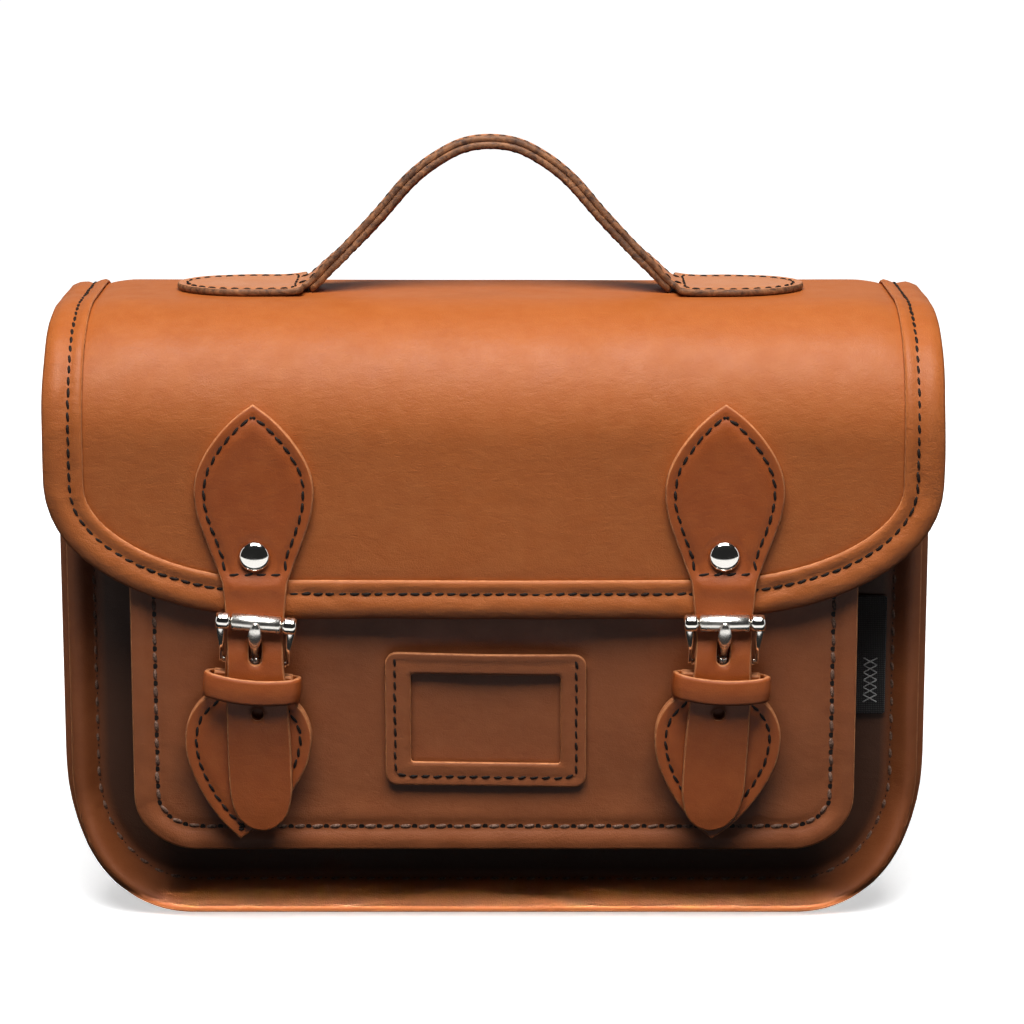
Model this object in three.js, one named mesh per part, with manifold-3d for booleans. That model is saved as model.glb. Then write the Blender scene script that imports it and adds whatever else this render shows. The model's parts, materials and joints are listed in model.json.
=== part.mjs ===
// Small leather satchel with a full front flap, a front pocket, two buckled straps and a top handle.
// Millimetres, +Z up. The front faces -Y, X runs across the width and the bag stands on z = 0.

import * as THREE from 'three';
import { mergeVertices } from 'three/addons/utils/BufferGeometryUtils.js';
import Module from 'manifold-3d';

const wasm = await Module();
wasm.setup();

// ---- driving dimensions ----------------------------------------------------------------------

const GAP = 0.3;            // clearance between pieces that touch
const PAST = 20;            // how far a cutting solid reaches past what it cuts
const LEATHER = 2.6;        // body, flap and strap leather
const THIN_LEATHER = 2.2;   // gussets, tabs and chapes
const CURVE_STEPS = 8;      // facets in a quarter turn

// Depths below are measured from the middle of the main compartment, which lies this far behind
// the middle of the whole bag, because the pocket and the buckles stand out at the front.
const COMPARTMENT_Y = 20.5;

const BODY = { halfWidth: 147.5, bottom: 0, cornerWide: 42, cornerHigh: 50 };
const BODY_HALF_DEPTH = 37.5;      // to the inside faces of the front and back panels
const FRONT_PANEL_TOP = 203;
const BACK_PANEL_TOP = 192;
const GUSSET_TOP_FRONT = 202;
const GUSSET_TOP_BACK = 190;
const SEAM_ALLOWANCE = 10;         // how far each gusset wall sits inside the panel edges

const POCKET = { halfWidth: 122.5, bottom: 28.5, cornerWide: 22, cornerHigh: 19 };
const POCKET_TOP = 165;
const POCKET_FACE = -64.4;         // outer face of the pocket panel

const FLAP = { halfWidth: 150, bottom: 110.6, cornerWide: 80, cornerHigh: 45 };
const FLAP_FRONT = -69.6;          // outer face of the hanging front of the flap
const FLAP_TOP = 215.4;            // outer face of the flat top of the flap
const FLAP_FRONT_RADIUS = 45;
const FLAP_BACK_RADIUS = 26;
const FLAP_BACK = 40;              // outer face where the flap turns down the back
const FLAP_BACK_EDGE = 193.3;      // the flap stops here, just above the back panel
const BINDING_WIDTH = 13.1;
const BINDING_SKIN = 1.3;
const BINDING_TURN = 2.7;          // how far the folded edge stands out past the flap leather

const SEWN_SHIFT = -1.4;           // straps, handle and label window are sewn this far off the middle
const STRAP_X = 78.3;              // each strap runs down at this distance from that line
const LEFT_LEAN = 5;               // degrees that the left strap's buckle and lower tab hang askew
const LEAN_PIVOT_Z = 104;
const STRAP_HINGE_Z = 125.6;       // stitched line below the rivet, where the free strap bends
const RIVET_Z = 132.8;
const RIVET = { hole: 1.8, shank: 1.5, cap: 5.2, rim: 0.7, dome: 2, washer: 4.5 };
const HEEL = { y: -71.2, z: 96.5, radius: 1.25 };      // buckle bar that the lower tab wraps
const ROLLER = { y: -77.6, z: 111.2, radius: 2.9, bore: 1.7, halfLength: 8.3 };
const TAB_WRAP_RADIUS = 3.8;
const TAB_NECK_HALF = 9.3;
const TAB_SLOT_HALF = 2.2;         // the gap in the tab's neck that the tongue turns in
const BUCKLE = { legInner: 10.3, legOuter: 13.3, legRadius: 1.6, knuckleRadius: 2.8, knuckleInner: 8.7,
  knuckleOuter: 12.6, capRadius: 2.1, capOuter: 13.6, pinRadius: 1.4, barHalf: 11 };
const TONGUE = { ring: 2.8, halfWidth: 1.5, halfThick: 0.75 };
const KEEPER = { bottom: 84.5, top: 93.5, halfWidth: 14.4, front: -78.8, back: -66.9, wall: 1.7 };
const TAIL_HOLE = { z: 79.6, radius: 2 };
const TONGUE_SLOT = { halfWidth: 2.2, bottom: 96.6, top: 105.6 };
const TAB_FRONT_FACE = -72.4;
const MAGNET = { z: 56, radius: 7, base: 1.4, stud: 1.0 };
const LABEL_WINDOW = {
  frame: { halfWidth: 34, bottom: 52.8, cornerWide: 4.5, cornerHigh: 4.5 },
  top: 99.3,
  thickness: 1.6,
  opening: { halfWidth: 25.3, bottom: 60, top: 91.2 },
};
const SIDE_LABEL = { inner: 124.2, outer: 134.8, bottom: 70, top: 112, thickness: 0.8 };

const HANDLE_Y = -6;
const HANDLE_HALF_WIDTH = 10;
const HANDLE_LAYER = 2.5;
const HANDLE_SPLIT_X = 51.65;      // outside this the handle is part of its tab
const HANDLE_LINING_END_X = 60;
const TAB_PLATE = { inner: 63.5, outer: 108.5, halfWidth: 19, roundLength: 26 };

const CHAPE = { top: 172, bottom: 138, halfWidth: 10, rivetZ: 145.5 };
const CHAPE_RIVET = { head: 4, rim: 0.5, dome: 1.4 };
const D_RING = { wire: 1.5, halfWidth: 12.6, drop: 20, lean: 0.14 };

// ---- materials -------------------------------------------------------------------------------

function leather(color) {
  return new THREE.MeshStandardMaterial({ color, roughness: 0.48, metalness: 0 });
}

const tan = leather(0xa25527);
const tanShade = leather(0x8a4722);
const tanStrap = leather(0x83421f);
const nickel = new THREE.MeshStandardMaterial({ color: 0xd9d6cf, roughness: 0.16, metalness: 1 });
const blackWeave = new THREE.MeshStandardMaterial({ color: 0x18161a, roughness: 0.85, metalness: 0 });

// ---- solids ----------------------------------------------------------------------------------

function solidFrom(geometry) {
  geometry.deleteAttribute('normal');
  geometry.deleteAttribute('uv');
  const merged = mergeVertices(geometry, 1e-5);
  return new wasm.Manifold(new wasm.Mesh({
    numProp: 3,
    vertProperties: new Float32Array(merged.attributes.position.array),
    triVerts: new Uint32Array(merged.index.array),
  }));
}

function geometryFrom(solid) {
  const mesh = solid.getMesh();
  const geometry = new THREE.BufferGeometry();
  const positions = new Float32Array(mesh.vertProperties);
  geometry.setAttribute('position', new THREE.BufferAttribute(positions, 3));
  geometry.setIndex(new THREE.BufferAttribute(new Uint32Array(mesh.triVerts), 1));
  geometry.computeVertexNormals();
  return geometry;
}

// Extrudes a closed outline. The two letters of the plane name the axes that the outline's numbers
// run along, and the extrusion fills the range from low to high along the third axis.
function prism(plane, outline, low, high) {
  const shape = new THREE.Shape(outline.map(([u, v]) => new THREE.Vector2(u, v)));
  const geometry = new THREE.ExtrudeGeometry(shape, { depth: high - low, bevelEnabled: false });
  const turn = new THREE.Matrix4();
  if (plane === 'yz') {
    turn.makeBasis(new THREE.Vector3(0, 1, 0), new THREE.Vector3(0, 0, 1), new THREE.Vector3(1, 0, 0));
    turn.setPosition(low, 0, 0);
  } else if (plane === 'xz') {
    turn.makeRotationX(Math.PI / 2);
    turn.setPosition(0, high, 0);
  } else {
    turn.setPosition(0, 0, low);
  }
  geometry.applyMatrix4(turn);
  return solidFrom(geometry);
}

function arc(centreU, centreV, radiusU, radiusV, from, to, steps) {
  const points = [];
  for (let i = 0; i <= steps; i += 1) {
    const angle = from + ((to - from) * i) / steps;
    points.push([centreU + radiusU * Math.cos(angle), centreV + radiusV * Math.sin(angle)]);
  }
  return points;
}

function circle(centreU, centreV, radius, steps = 24) {
  return arc(centreU, centreV, radius, radius, 0, 2 * Math.PI, steps).slice(0, steps);
}

function rectangle(lowU, lowV, highU, highV) {
  return [[lowU, lowV], [highU, lowV], [highU, highV], [lowU, highV]];
}

// A smooth line through a few points.
function smooth(points, steps) {
  const curve = new THREE.SplineCurve(points.map(([u, v]) => new THREE.Vector2(u, v)));
  return curve.getSpacedPoints(steps).map((point) => [point.x, point.y]);
}

// Half an outline, listed from top to bottom as (half width, height), becomes a whole one.
function mirrored(half) {
  const left = half.map(([u, v]) => [-u, v]);
  const right = half.filter(([u]) => u > 1e-6).reverse();
  return [...left, ...right];
}

// The line displaced sideways. A positive distance lies on the left of the direction of travel.
function offsetLine(line, distance) {
  return line.map(([u, v], i) => {
    const before = line[Math.max(i - 1, 0)];
    const after = line[Math.min(i + 1, line.length - 1)];
    const along = new THREE.Vector2(after[0] - before[0], after[1] - before[1]).normalize();
    return [u - along.y * distance, v + along.x * distance];
  });
}

function band(line, low, high) {
  return [...offsetLine(line, low), ...offsetLine(line, high).reverse()];
}

// A surface of revolution whose axis points along `direction` from `origin`.
function turned(profile, origin, direction) {
  const points = profile.map(([radius, height]) => new THREE.Vector2(radius, height));
  const geometry = new THREE.LatheGeometry(points, 24);
  const turn = new THREE.Quaternion().setFromUnitVectors(new THREE.Vector3(0, 1, 0), direction);
  geometry.applyQuaternion(turn);
  geometry.translate(...origin);
  return solidFrom(geometry);
}

function union(...solids) {
  return solids.reduce((sum, solid) => sum.add(solid));
}

function part(group, name, solid, material) {
  const mesh = new THREE.Mesh(geometryFrom(solid), material);
  mesh.name = name;
  group.add(mesh);
}

// ---- panels and gussets ----------------------------------------------------------------------

// A panel hangs from `top` and ends in two elliptical bottom corners, all drawn in by `inset`.
function panelOutline(panel, inset, top) {
  const side = panel.halfWidth - inset;
  const bottom = panel.bottom + inset;
  const wide = panel.cornerWide - inset;
  const high = panel.cornerHigh - inset;
  const corner = arc(side - wide, bottom + high, wide, high, 0, -Math.PI / 2, CURVE_STEPS);
  return mirrored([[side, top], ...corner]);
}

// A U-shaped strip that follows a panel's edge between two insets.
function edgeStrip(panel, outerInset, innerInset, top, low, high) {
  const outside = prism('xz', panelOutline(panel, outerInset, top), low, high);
  const inside = prism('xz', panelOutline(panel, innerInset, top + 10), low - 1, high + 1);
  return outside.subtract(inside);
}

function mainGusset() {
  const edge = BODY_HALF_DEPTH - GAP;
  const wallInset = SEAM_ALLOWANCE + THIN_LEATHER;
  const wall = edgeStrip(BODY, SEAM_ALLOWANCE, wallInset, GUSSET_TOP_FRONT, -edge, edge);
  const front = edgeStrip(BODY, 0, wallInset, GUSSET_TOP_FRONT, -edge, -edge + THIN_LEATHER);
  const back = edgeStrip(BODY, 0, wallInset, GUSSET_TOP_FRONT, edge - THIN_LEATHER, edge);
  const above = [
    [-edge - 1, GUSSET_TOP_FRONT],
    [edge + 1, GUSSET_TOP_BACK],
    [edge + 1, GUSSET_TOP_FRONT + 5],
    [-edge - 1, GUSSET_TOP_FRONT + 5],
  ];
  return union(wall, front, back).subtract(prism('yz', above, -BODY.halfWidth - 1, BODY.halfWidth + 1));
}

function pocketGusset() {
  const front = POCKET_FACE + LEATHER + GAP;
  const back = -BODY_HALF_DEPTH - LEATHER - GAP;
  const wallInset = SEAM_ALLOWANCE + THIN_LEATHER;
  return union(
    edgeStrip(POCKET, SEAM_ALLOWANCE, wallInset, POCKET_TOP, front, back),
    edgeStrip(POCKET, 0, wallInset, POCKET_TOP, front, front + THIN_LEATHER),
    edgeStrip(POCKET, SEAM_ALLOWANCE, 2 * SEAM_ALLOWANCE, POCKET_TOP, back - THIN_LEATHER, back),
  );
}

function idWindowFrame() {
  const { frame, top, thickness, opening } = LABEL_WINDOW;
  const hole = rectangle(-opening.halfWidth, opening.bottom, opening.halfWidth, opening.top);
  const face = POCKET_FACE - GAP;
  const sheet = prism('xz', panelOutline(frame, 0, top), face - thickness, face);
  const window = sheet.subtract(prism('xz', hole, face - thickness - 1, face + 1));
  return window.translate([SEWN_SHIFT, 0, 0]);
}

function addBody(bag) {
  const outline = panelOutline(BODY, 0, FRONT_PANEL_TOP);
  const outer = BODY_HALF_DEPTH + LEATHER;
  part(bag, 'front_panel', prism('xz', outline, -outer, -BODY_HALF_DEPTH), tanShade);
  const backOutline = panelOutline(BODY, 0, BACK_PANEL_TOP);
  part(bag, 'back_panel', prism('xz', backOutline, BODY_HALF_DEPTH, outer), tan);
  part(bag, 'main_gusset', mainGusset(), tanShade);
  const pocket = prism('xz', panelOutline(POCKET, 0, POCKET_TOP), POCKET_FACE, POCKET_FACE + LEATHER);
  part(bag, 'pocket_panel', pocket, tanShade);
  part(bag, 'pocket_gusset', pocketGusset(), tanShade);
  part(bag, 'id_window_frame', idWindowFrame(), tanStrap);
  const { inner, outer: labelOuter, bottom, top, thickness } = SIDE_LABEL;
  const ribbon = rectangle(inner, bottom, labelOuter, top);
  const face = -outer - GAP;
  part(bag, 'woven_label', prism('xz', ribbon, face - thickness, face), blackWeave);
}

// ---- flap ------------------------------------------------------------------------------------

const STRAPS = [['left', SEWN_SHIFT - STRAP_X], ['right', SEWN_SHIFT + STRAP_X]];

// The flap's side view, from its front bottom edge over the top to its back edge. The distance is
// measured outward from the leather's outer face.
function flapLine(distance) {
  const frontRadius = FLAP_FRONT_RADIUS + distance;
  const backRadius = FLAP_BACK_RADIUS + distance;
  const frontY = FLAP_FRONT + FLAP_FRONT_RADIUS;
  const frontZ = FLAP_TOP - FLAP_FRONT_RADIUS;
  const backY = FLAP_BACK - FLAP_BACK_RADIUS;
  const backZ = FLAP_TOP - FLAP_BACK_RADIUS;
  const end = Math.asin((FLAP_BACK_EDGE - backZ) / backRadius);
  return [
    [FLAP_FRONT - distance, FLAP.bottom - 5],
    ...arc(frontY, frontZ, frontRadius, frontRadius, Math.PI, Math.PI / 2, 12),
    ...arc(backY, backZ, backRadius, backRadius, Math.PI / 2, end, 9),
  ];
}

// A layer that lies between two distances from the flap's outer face, as wide as the flap.
function flapLayer(low, high) {
  const outline = [...flapLine(high), ...flapLine(low).reverse()];
  return prism('yz', outline, -FLAP.halfWidth - 1, FLAP.halfWidth + 1);
}

function flapCut(inset) {
  return prism('xz', panelOutline(FLAP, inset, FLAP_TOP + PAST), FLAP_FRONT - PAST, FLAP_BACK + PAST);
}

function flapBinding() {
  const skin = GAP + BINDING_SKIN;
  const fold = flapLayer(-LEATHER - skin, skin).intersect(flapCut(0));
  const slot = flapLayer(-LEATHER - GAP, GAP).intersect(flapCut(BINDING_TURN - GAP));
  return fold.subtract(slot).subtract(flapCut(BINDING_WIDTH));
}

const STRAP_HEAD_HALF = [
  [0, 183], [7, 177.4], [13.8, 168.6], [18.6, 160], [19.8, 154], [18.4, 146.4], [15.4, 138], [12.8, 131],
  [12, STRAP_HINGE_Z + 0.15],
];

function strapHole(radius, z) {
  return prism('xz', circle(0, z, radius), FLAP_FRONT - PAST, FLAP_FRONT + PAST);
}

function strapHead() {
  const tip = smooth(STRAP_HEAD_HALF.slice(0, 5), 10);
  const waist = smooth(STRAP_HEAD_HALF.slice(4), 8);
  const outline = mirrored([...tip, ...waist.slice(1)]);
  const cut = prism('xz', outline, FLAP_FRONT - PAST, FLAP_FRONT + FLAP_FRONT_RADIUS);
  return flapLayer(GAP, GAP + LEATHER).intersect(cut).subtract(strapHole(RIVET.hole, RIVET_Z));
}

function rivetCap() {
  const faceY = FLAP_FRONT - GAP - LEATHER - GAP;
  const shank = LEATHER * 2 + GAP * 3;
  const foot = [[0, -shank], [RIVET.shank, -shank], [RIVET.shank, 0], [RIVET.cap, 0]];
  const dome = arc(0, RIVET.rim, RIVET.cap, RIVET.dome, 0, Math.PI / 2, 5).slice(0, -1);
  const profile = [...foot, ...dome, [0, RIVET.rim + RIVET.dome]];
  return turned(profile, [0, faceY, RIVET_Z], new THREE.Vector3(0, -1, 0));
}

function rivetBack() {
  const faceY = FLAP_FRONT + LEATHER + GAP;
  const origin = [0, faceY, RIVET_Z];
  const recess = [[0, 0.3], [RIVET.hole, 0.3], [RIVET.hole, 0]];
  const profile = [...recess, [RIVET.washer, 0], [RIVET.washer, 0.8], [0, 1.3]];
  return turned(profile, origin, new THREE.Vector3(0, 1, 0));
}

// ---- handle ----------------------------------------------------------------------------------

// The line between the two layers of the handle, from its right end over the top to its left end.
const HANDLE_HALF = [
  [76, 215.55], [66, 216.6], [58, 220.4], [50, 227], [39, 237.8], [26.5, 252], [13.5, 260.8],
];
const HANDLE_LINE = smooth([
  ...HANDLE_HALF, [0, 263.8], ...HANDLE_HALF.map(([x, z]) => [-x, z]).reverse(),
], 90);

// A layer of the handle between two distances below that line, cut off at two places along X.
function handleBand(low, high, fromX, toX) {
  const near = HANDLE_Y - HANDLE_HALF_WIDTH;
  const far = HANDLE_Y + HANDLE_HALF_WIDTH;
  const strip = prism('xz', band(HANDLE_LINE, low, high), near, far);
  return strip.intersect(prism('xz', rectangle(fromX, 200, toX, 280), near - 1, far + 1));
}

function handleLayer(low, high) {
  return handleBand(low, high, -HANDLE_SPLIT_X + GAP / 2, HANDLE_SPLIT_X - GAP / 2);
}

function handleTab() {
  const { inner, outer, halfWidth, roundLength } = TAB_PLATE;
  const half = halfWidth - 1.5;
  const round = arc(outer - roundLength, HANDLE_Y, roundLength, half, -Math.PI / 2, Math.PI / 2, 12);
  const outline = [[inner, HANDLE_Y - halfWidth], ...round, [inner, HANDLE_Y + halfWidth]];
  const bottom = FLAP_TOP + GAP;
  const plate = prism('xy', outline, bottom, bottom + HANDLE_LAYER);
  const start = HANDLE_SPLIT_X + GAP / 2;
  const top = handleBand(-GAP / 2 - HANDLE_LAYER, -GAP / 2, start, 74);
  const under = handleBand(-GAP, GAP / 2 + HANDLE_LAYER, start, HANDLE_LINING_END_X);
  return union(plate, top, under);
}

function addFlap(bag) {
  const flap = new THREE.Group();
  bag.add(flap);
  const holes = union(...STRAPS.map(([, x]) => strapHole(RIVET.hole, RIVET_Z).translate([x, 0, 0])));
  part(flap, 'flap', flapLayer(-LEATHER, 0).intersect(flapCut(BINDING_TURN)).subtract(holes), tan);
  part(flap, 'flap_binding', flapBinding(), tan);
  for (const [side, x] of STRAPS) {
    part(flap, `strap_head_${side}`, strapHead().translate([x, 0, 0]), tanStrap);
    part(flap, `rivet_cap_${side}`, rivetCap().translate([x, 0, 0]), nickel);
    part(flap, `rivet_back_${side}`, rivetBack().translate([x, 0, 0]), nickel);
  }
  const handle = new THREE.Group();
  handle.position.x = SEWN_SHIFT;
  flap.add(handle);
  part(handle, 'handle_tab_left', handleTab().mirror([1, 0, 0]), tan);
  part(handle, 'handle_tab_right', handleTab(), tan);
  part(handle, 'handle_strap', handleLayer(-GAP / 2 - HANDLE_LAYER, -GAP / 2), tan);
  part(handle, 'handle_lining', handleLayer(GAP / 2, GAP / 2 + HANDLE_LAYER), tan);
  return flap;
}

// ---- straps and buckles, modelled about x = 0 ------------------------------------------------

// Side view of the middle of the free strap, down behind the roller and out over the heel bar.
const STRAP_CUT = [-90, -60];      // from in front of the strap to behind it

const TAIL_LINE = smooth([
  [-72.8, STRAP_HINGE_Z - 0.15], [-72.8, 117], [-73, 109.6], [-75, 104], [-76.6, 98.4], [-76.7, 92],
  [-76.4, 84], [-74.9, 72], [-74.1, 60], [-74, 36],
], 40);

const TAIL_HALF = [
  [10.8, STRAP_HINGE_Z + 5], [10.6, 124], [10, 116], [9.4, 108], [9.4, 96], [10, 88],
  [10.6, 72], [10.6, 54], [9.8, 47], [6.6, 41.2], [0, 38.5],
];

const LOWER_TAB_HALF = [
  [13, 92.4], [13.8, 88], [14, 84.3], [18, 80.2], [20.7, 74.5], [21.2, 68],
  [19.6, 60], [14.6, 50], [7.6, 41], [0, 34.5],
];

function strapTail() {
  const strip = prism('yz', band(TAIL_LINE, -LEATHER / 2, LEATHER / 2), -15, 15);
  const edges = prism('xz', mirrored(smooth(TAIL_HALF, 30)), ...STRAP_CUT);
  const { halfWidth, bottom, top } = TONGUE_SLOT;
  const slot = prism('xz', rectangle(-halfWidth, bottom, halfWidth, top), ...STRAP_CUT);
  const hole = prism('xz', circle(0, TAIL_HOLE.z, TAIL_HOLE.radius), ...STRAP_CUT);
  return strip.intersect(edges).subtract(slot).subtract(hole);
}

function lowerTabSheet(faceY) {
  const tapered = smooth(LOWER_TAB_HALF.slice(2), 20);
  const outline = mirrored([...LOWER_TAB_HALF.slice(0, 2), ...tapered]);
  return prism('xz', outline, faceY, faceY + THIN_LEATHER);
}

function tabFront() {
  const half = TAB_NECK_HALF;
  const neckBottom = LOWER_TAB_HALF[0][1] - 2.4;
  const neck = rectangle(-half, neckBottom, half, HEEL.z - 2.5);
  const wrap = prism('yz', circle(HEEL.y, HEEL.z, TAB_WRAP_RADIUS), -half, half);
  const bore = prism('yz', circle(HEEL.y, HEEL.z, TAB_WRAP_RADIUS - THIN_LEATHER), -half - 1, half + 1);
  const slot = rectangle(-TAB_SLOT_HALF, HEEL.z - 2.9, TAB_SLOT_HALF, HEEL.z + 5);
  const sheet = lowerTabSheet(TAB_FRONT_FACE)
    .add(prism('xz', neck, TAB_FRONT_FACE, TAB_FRONT_FACE + THIN_LEATHER));
  return sheet.add(wrap).subtract(bore).subtract(prism('xz', slot, ...STRAP_CUT));
}

function tabBack() {
  return lowerTabSheet(TAB_FRONT_FACE + THIN_LEATHER + GAP);
}

function magnetDisc(faceY, thickness) {
  return prism('xz', circle(0, MAGNET.z, MAGNET.radius), faceY - thickness, faceY);
}

function keeperRing(grow, low, high) {
  const half = KEEPER.halfWidth + grow;
  const front = KEEPER.front - grow;
  const back = KEEPER.back + grow;
  const frontRadius = 3 + grow;
  const backRadius = 0.8 + grow;
  const corner = (u, v, radius, turns) => {
    const start = (turns * Math.PI) / 2;
    return arc(u, v, radius, radius, start, start + Math.PI / 2, 4);
  };
  const outline = [
    ...corner(-half + frontRadius, front + frontRadius, frontRadius, 2),
    ...corner(half - frontRadius, front + frontRadius, frontRadius, 3),
    ...corner(half - backRadius, back - backRadius, backRadius, 0),
    ...corner(-half + backRadius, back - backRadius, backRadius, 1),
  ];
  return prism('xy', outline, low, high);
}

function keeper() {
  const inside = keeperRing(0, KEEPER.bottom - 1, KEEPER.top + 1);
  return keeperRing(KEEPER.wall, KEEPER.bottom, KEEPER.top).subtract(inside);
}

// One side of the buckle frame: a leg that widens from the heel bar to the knuckle at the roller.
function buckleSide() {
  const { legRadius } = BUCKLE;
  const tilt = Math.atan2(ROLLER.z - HEEL.z, ROLLER.y - HEEL.y);
  const quarter = Math.PI / 2;
  const leg = [
    ...arc(HEEL.y, HEEL.z, legRadius, legRadius, tilt + quarter, tilt + 3 * quarter, 8),
    ...arc(ROLLER.y, ROLLER.z, legRadius, legRadius, tilt - quarter, tilt + quarter, 8),
  ];
  const { knuckleRadius, knuckleInner, knuckleOuter, capRadius, capOuter } = BUCKLE;
  const knuckle = prism('yz', circle(ROLLER.y, ROLLER.z, knuckleRadius, 16), knuckleInner, knuckleOuter);
  const cap = prism('yz', circle(ROLLER.y, ROLLER.z, capRadius, 16), knuckleOuter - 0.1, capOuter);
  return union(prism('yz', leg, BUCKLE.legInner, BUCKLE.legOuter), knuckle, cap);
}

function buckleFrame() {
  const { barHalf, pinRadius } = BUCKLE;
  const heel = prism('yz', circle(HEEL.y, HEEL.z, HEEL.radius, 16), -barHalf, barHalf);
  const pin = prism('yz', circle(ROLLER.y, ROLLER.z, pinRadius, 16), -barHalf, barHalf);
  return union(buckleSide(), buckleSide().mirror([1, 0, 0]), heel, pin);
}

function roller() {
  const { y, z, radius, bore, halfLength } = ROLLER;
  const tube = prism('yz', circle(y, z, radius), -halfLength, halfLength);
  return tube.subtract(prism('yz', circle(y, z, bore, 16), -halfLength - 1, halfLength + 1));
}

function tongue() {
  const { ring: ringRadius, halfWidth, halfThick } = TONGUE;
  const line = smooth([[-73, 98.2], [-76.2, 101.3], [-79.3, 104.6], [-81.3, 108.6], [-81.8, 112.6]], 10);
  const arm = prism('yz', band(line, -halfThick, halfThick), -halfWidth, halfWidth);
  const ring = prism('yz', circle(HEEL.y, HEEL.z, ringRadius), -halfWidth, halfWidth);
  const bore = prism('yz', circle(HEEL.y, HEEL.z, HEEL.radius + GAP, 16), -halfWidth - 1, halfWidth + 1);
  return union(ring, arm).subtract(bore);
}

function addStrap(bag, flap, side, x) {
  const lean = side === 'left' ? LEFT_LEAN : 0;
  const askew = (solid) => solid
    .translate([0, 0, -LEAN_PIVOT_Z])
    .rotate([0, lean, 0])
    .translate([0, 0, LEAN_PIVOT_Z]);
  const fixed = new THREE.Group();
  fixed.position.x = x;
  bag.add(fixed);
  const magnetFace = POCKET_FACE - GAP;
  part(fixed, `magnet_base_${side}`, askew(magnetDisc(magnetFace, MAGNET.base)), nickel);

  const strap = new THREE.Group();
  strap.position.x = x;
  flap.add(strap);
  part(strap, `strap_tail_${side}`, strapTail(), tanStrap);
  part(strap, `tab_front_${side}`, askew(tabFront()), tanStrap);
  part(strap, `tab_back_${side}`, askew(tabBack()), tanStrap);
  part(strap, `keeper_${side}`, askew(keeper()), tanStrap);
  const stud = magnetDisc(magnetFace - MAGNET.base - GAP, MAGNET.stud);
  part(strap, `magnet_stud_${side}`, askew(stud), nickel);

  const buckle = new THREE.Group();
  strap.add(buckle);
  part(buckle, `buckle_frame_${side}`, askew(buckleFrame()), nickel);
  part(buckle, `roller_${side}`, askew(roller()), nickel);
  part(buckle, `tongue_${side}`, askew(tongue()), nickel);
}

// ---- D-rings on the gusset sides, modelled on the right ---------------------------------------

const CHAPE_X = BODY.halfWidth - SEAM_ALLOWANCE + GAP;
const D_BAR_X = CHAPE_X + THIN_LEATHER + D_RING.wire + GAP;

function chape() {
  const { top, bottom, halfWidth, rivetZ } = CHAPE;
  const outer = D_RING.wire + GAP + THIN_LEATHER;
  const layers = rectangle(CHAPE_X, bottom, CHAPE_X + 2 * THIN_LEATHER, top - 1);
  const slab = prism('xz', layers, -halfWidth, halfWidth);
  const loop = prism('xz', circle(D_BAR_X, top, outer), -halfWidth, halfWidth);
  const bore = prism('xz', circle(D_BAR_X, top, D_RING.wire + GAP), -halfWidth - 1, halfWidth + 1);
  const rivet = prism('yz', circle(0, rivetZ, RIVET.hole), CHAPE_X - 1, CHAPE_X + PAST);
  return union(slab, loop).subtract(bore).subtract(rivet);
}

function chapeRivet() {
  const shank = 2 * THIN_LEATHER + GAP;
  const { head, rim, dome } = CHAPE_RIVET;
  const foot = [[0, -shank], [RIVET.shank, -shank], [RIVET.shank, 0], [head, 0]];
  const top = arc(0, rim, head, dome, 0, Math.PI / 2, 5).slice(0, -1);
  const profile = [...foot, ...top, [0, rim + dome]];
  const origin = [CHAPE_X + 2 * THIN_LEATHER + GAP, 0, CHAPE.rivetZ];
  return turned(profile, origin, new THREE.Vector3(1, 0, 0));
}

// The ring hangs around its chape, leaning a little out from it.
function dRing() {
  const { wire, halfWidth, drop, lean } = D_RING;
  const straight = drop - halfWidth;
  const bend = arc(0, -straight, halfWidth, halfWidth, Math.PI, 2 * Math.PI, 12);
  const line = [[-halfWidth, 0], [-halfWidth, -straight / 2], ...bend, [halfWidth, 0]];
  const path = line.map(([y, z]) => new THREE.Vector3(0, y, z));
  const curve = new THREE.CatmullRomCurve3(path, false, 'centripetal');
  const section = new THREE.Shape(circle(0, 0, wire, 10).map(([u, v]) => new THREE.Vector2(u, v)));
  const options = { extrudePath: curve, steps: 30, bevelEnabled: false };
  const bow = solidFrom(new THREE.ExtrudeGeometry(section, options));
  const bar = prism('xz', circle(0, 0, wire, 16), -halfWidth - wire, halfWidth + wire);
  return bow.add(bar).rotate([0, THREE.MathUtils.radToDeg(-lean), 0]).translate([D_BAR_X, 0, CHAPE.top]);
}

function addDRings(bag) {
  for (const [side, mirror] of [['left', true], ['right', false]]) {
    const place = (solid) => (mirror ? solid.mirror([1, 0, 0]) : solid);
    part(bag, `chape_${side}`, place(chape()), tanStrap);
    part(bag, `chape_rivet_${side}`, place(chapeRivet()), nickel);
    part(bag, `d_ring_${side}`, place(dRing()), nickel);
  }
}

// ---- assembly --------------------------------------------------------------------------------

const satchel = new THREE.Group();
const bag = new THREE.Group();
bag.position.y = COMPARTMENT_Y;
satchel.add(bag);
addBody(bag);
const flapGroup = addFlap(bag);
for (const [side, x] of STRAPS) {
  addStrap(bag, flapGroup, side, x);
}
addDRings(bag);

export default satchel;
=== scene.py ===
import json
import math

import bmesh
import bpy
import numpy as np
from mathutils import Matrix, Vector, noise
from mathutils.geometry import delaunay_2d_cdt


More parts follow.
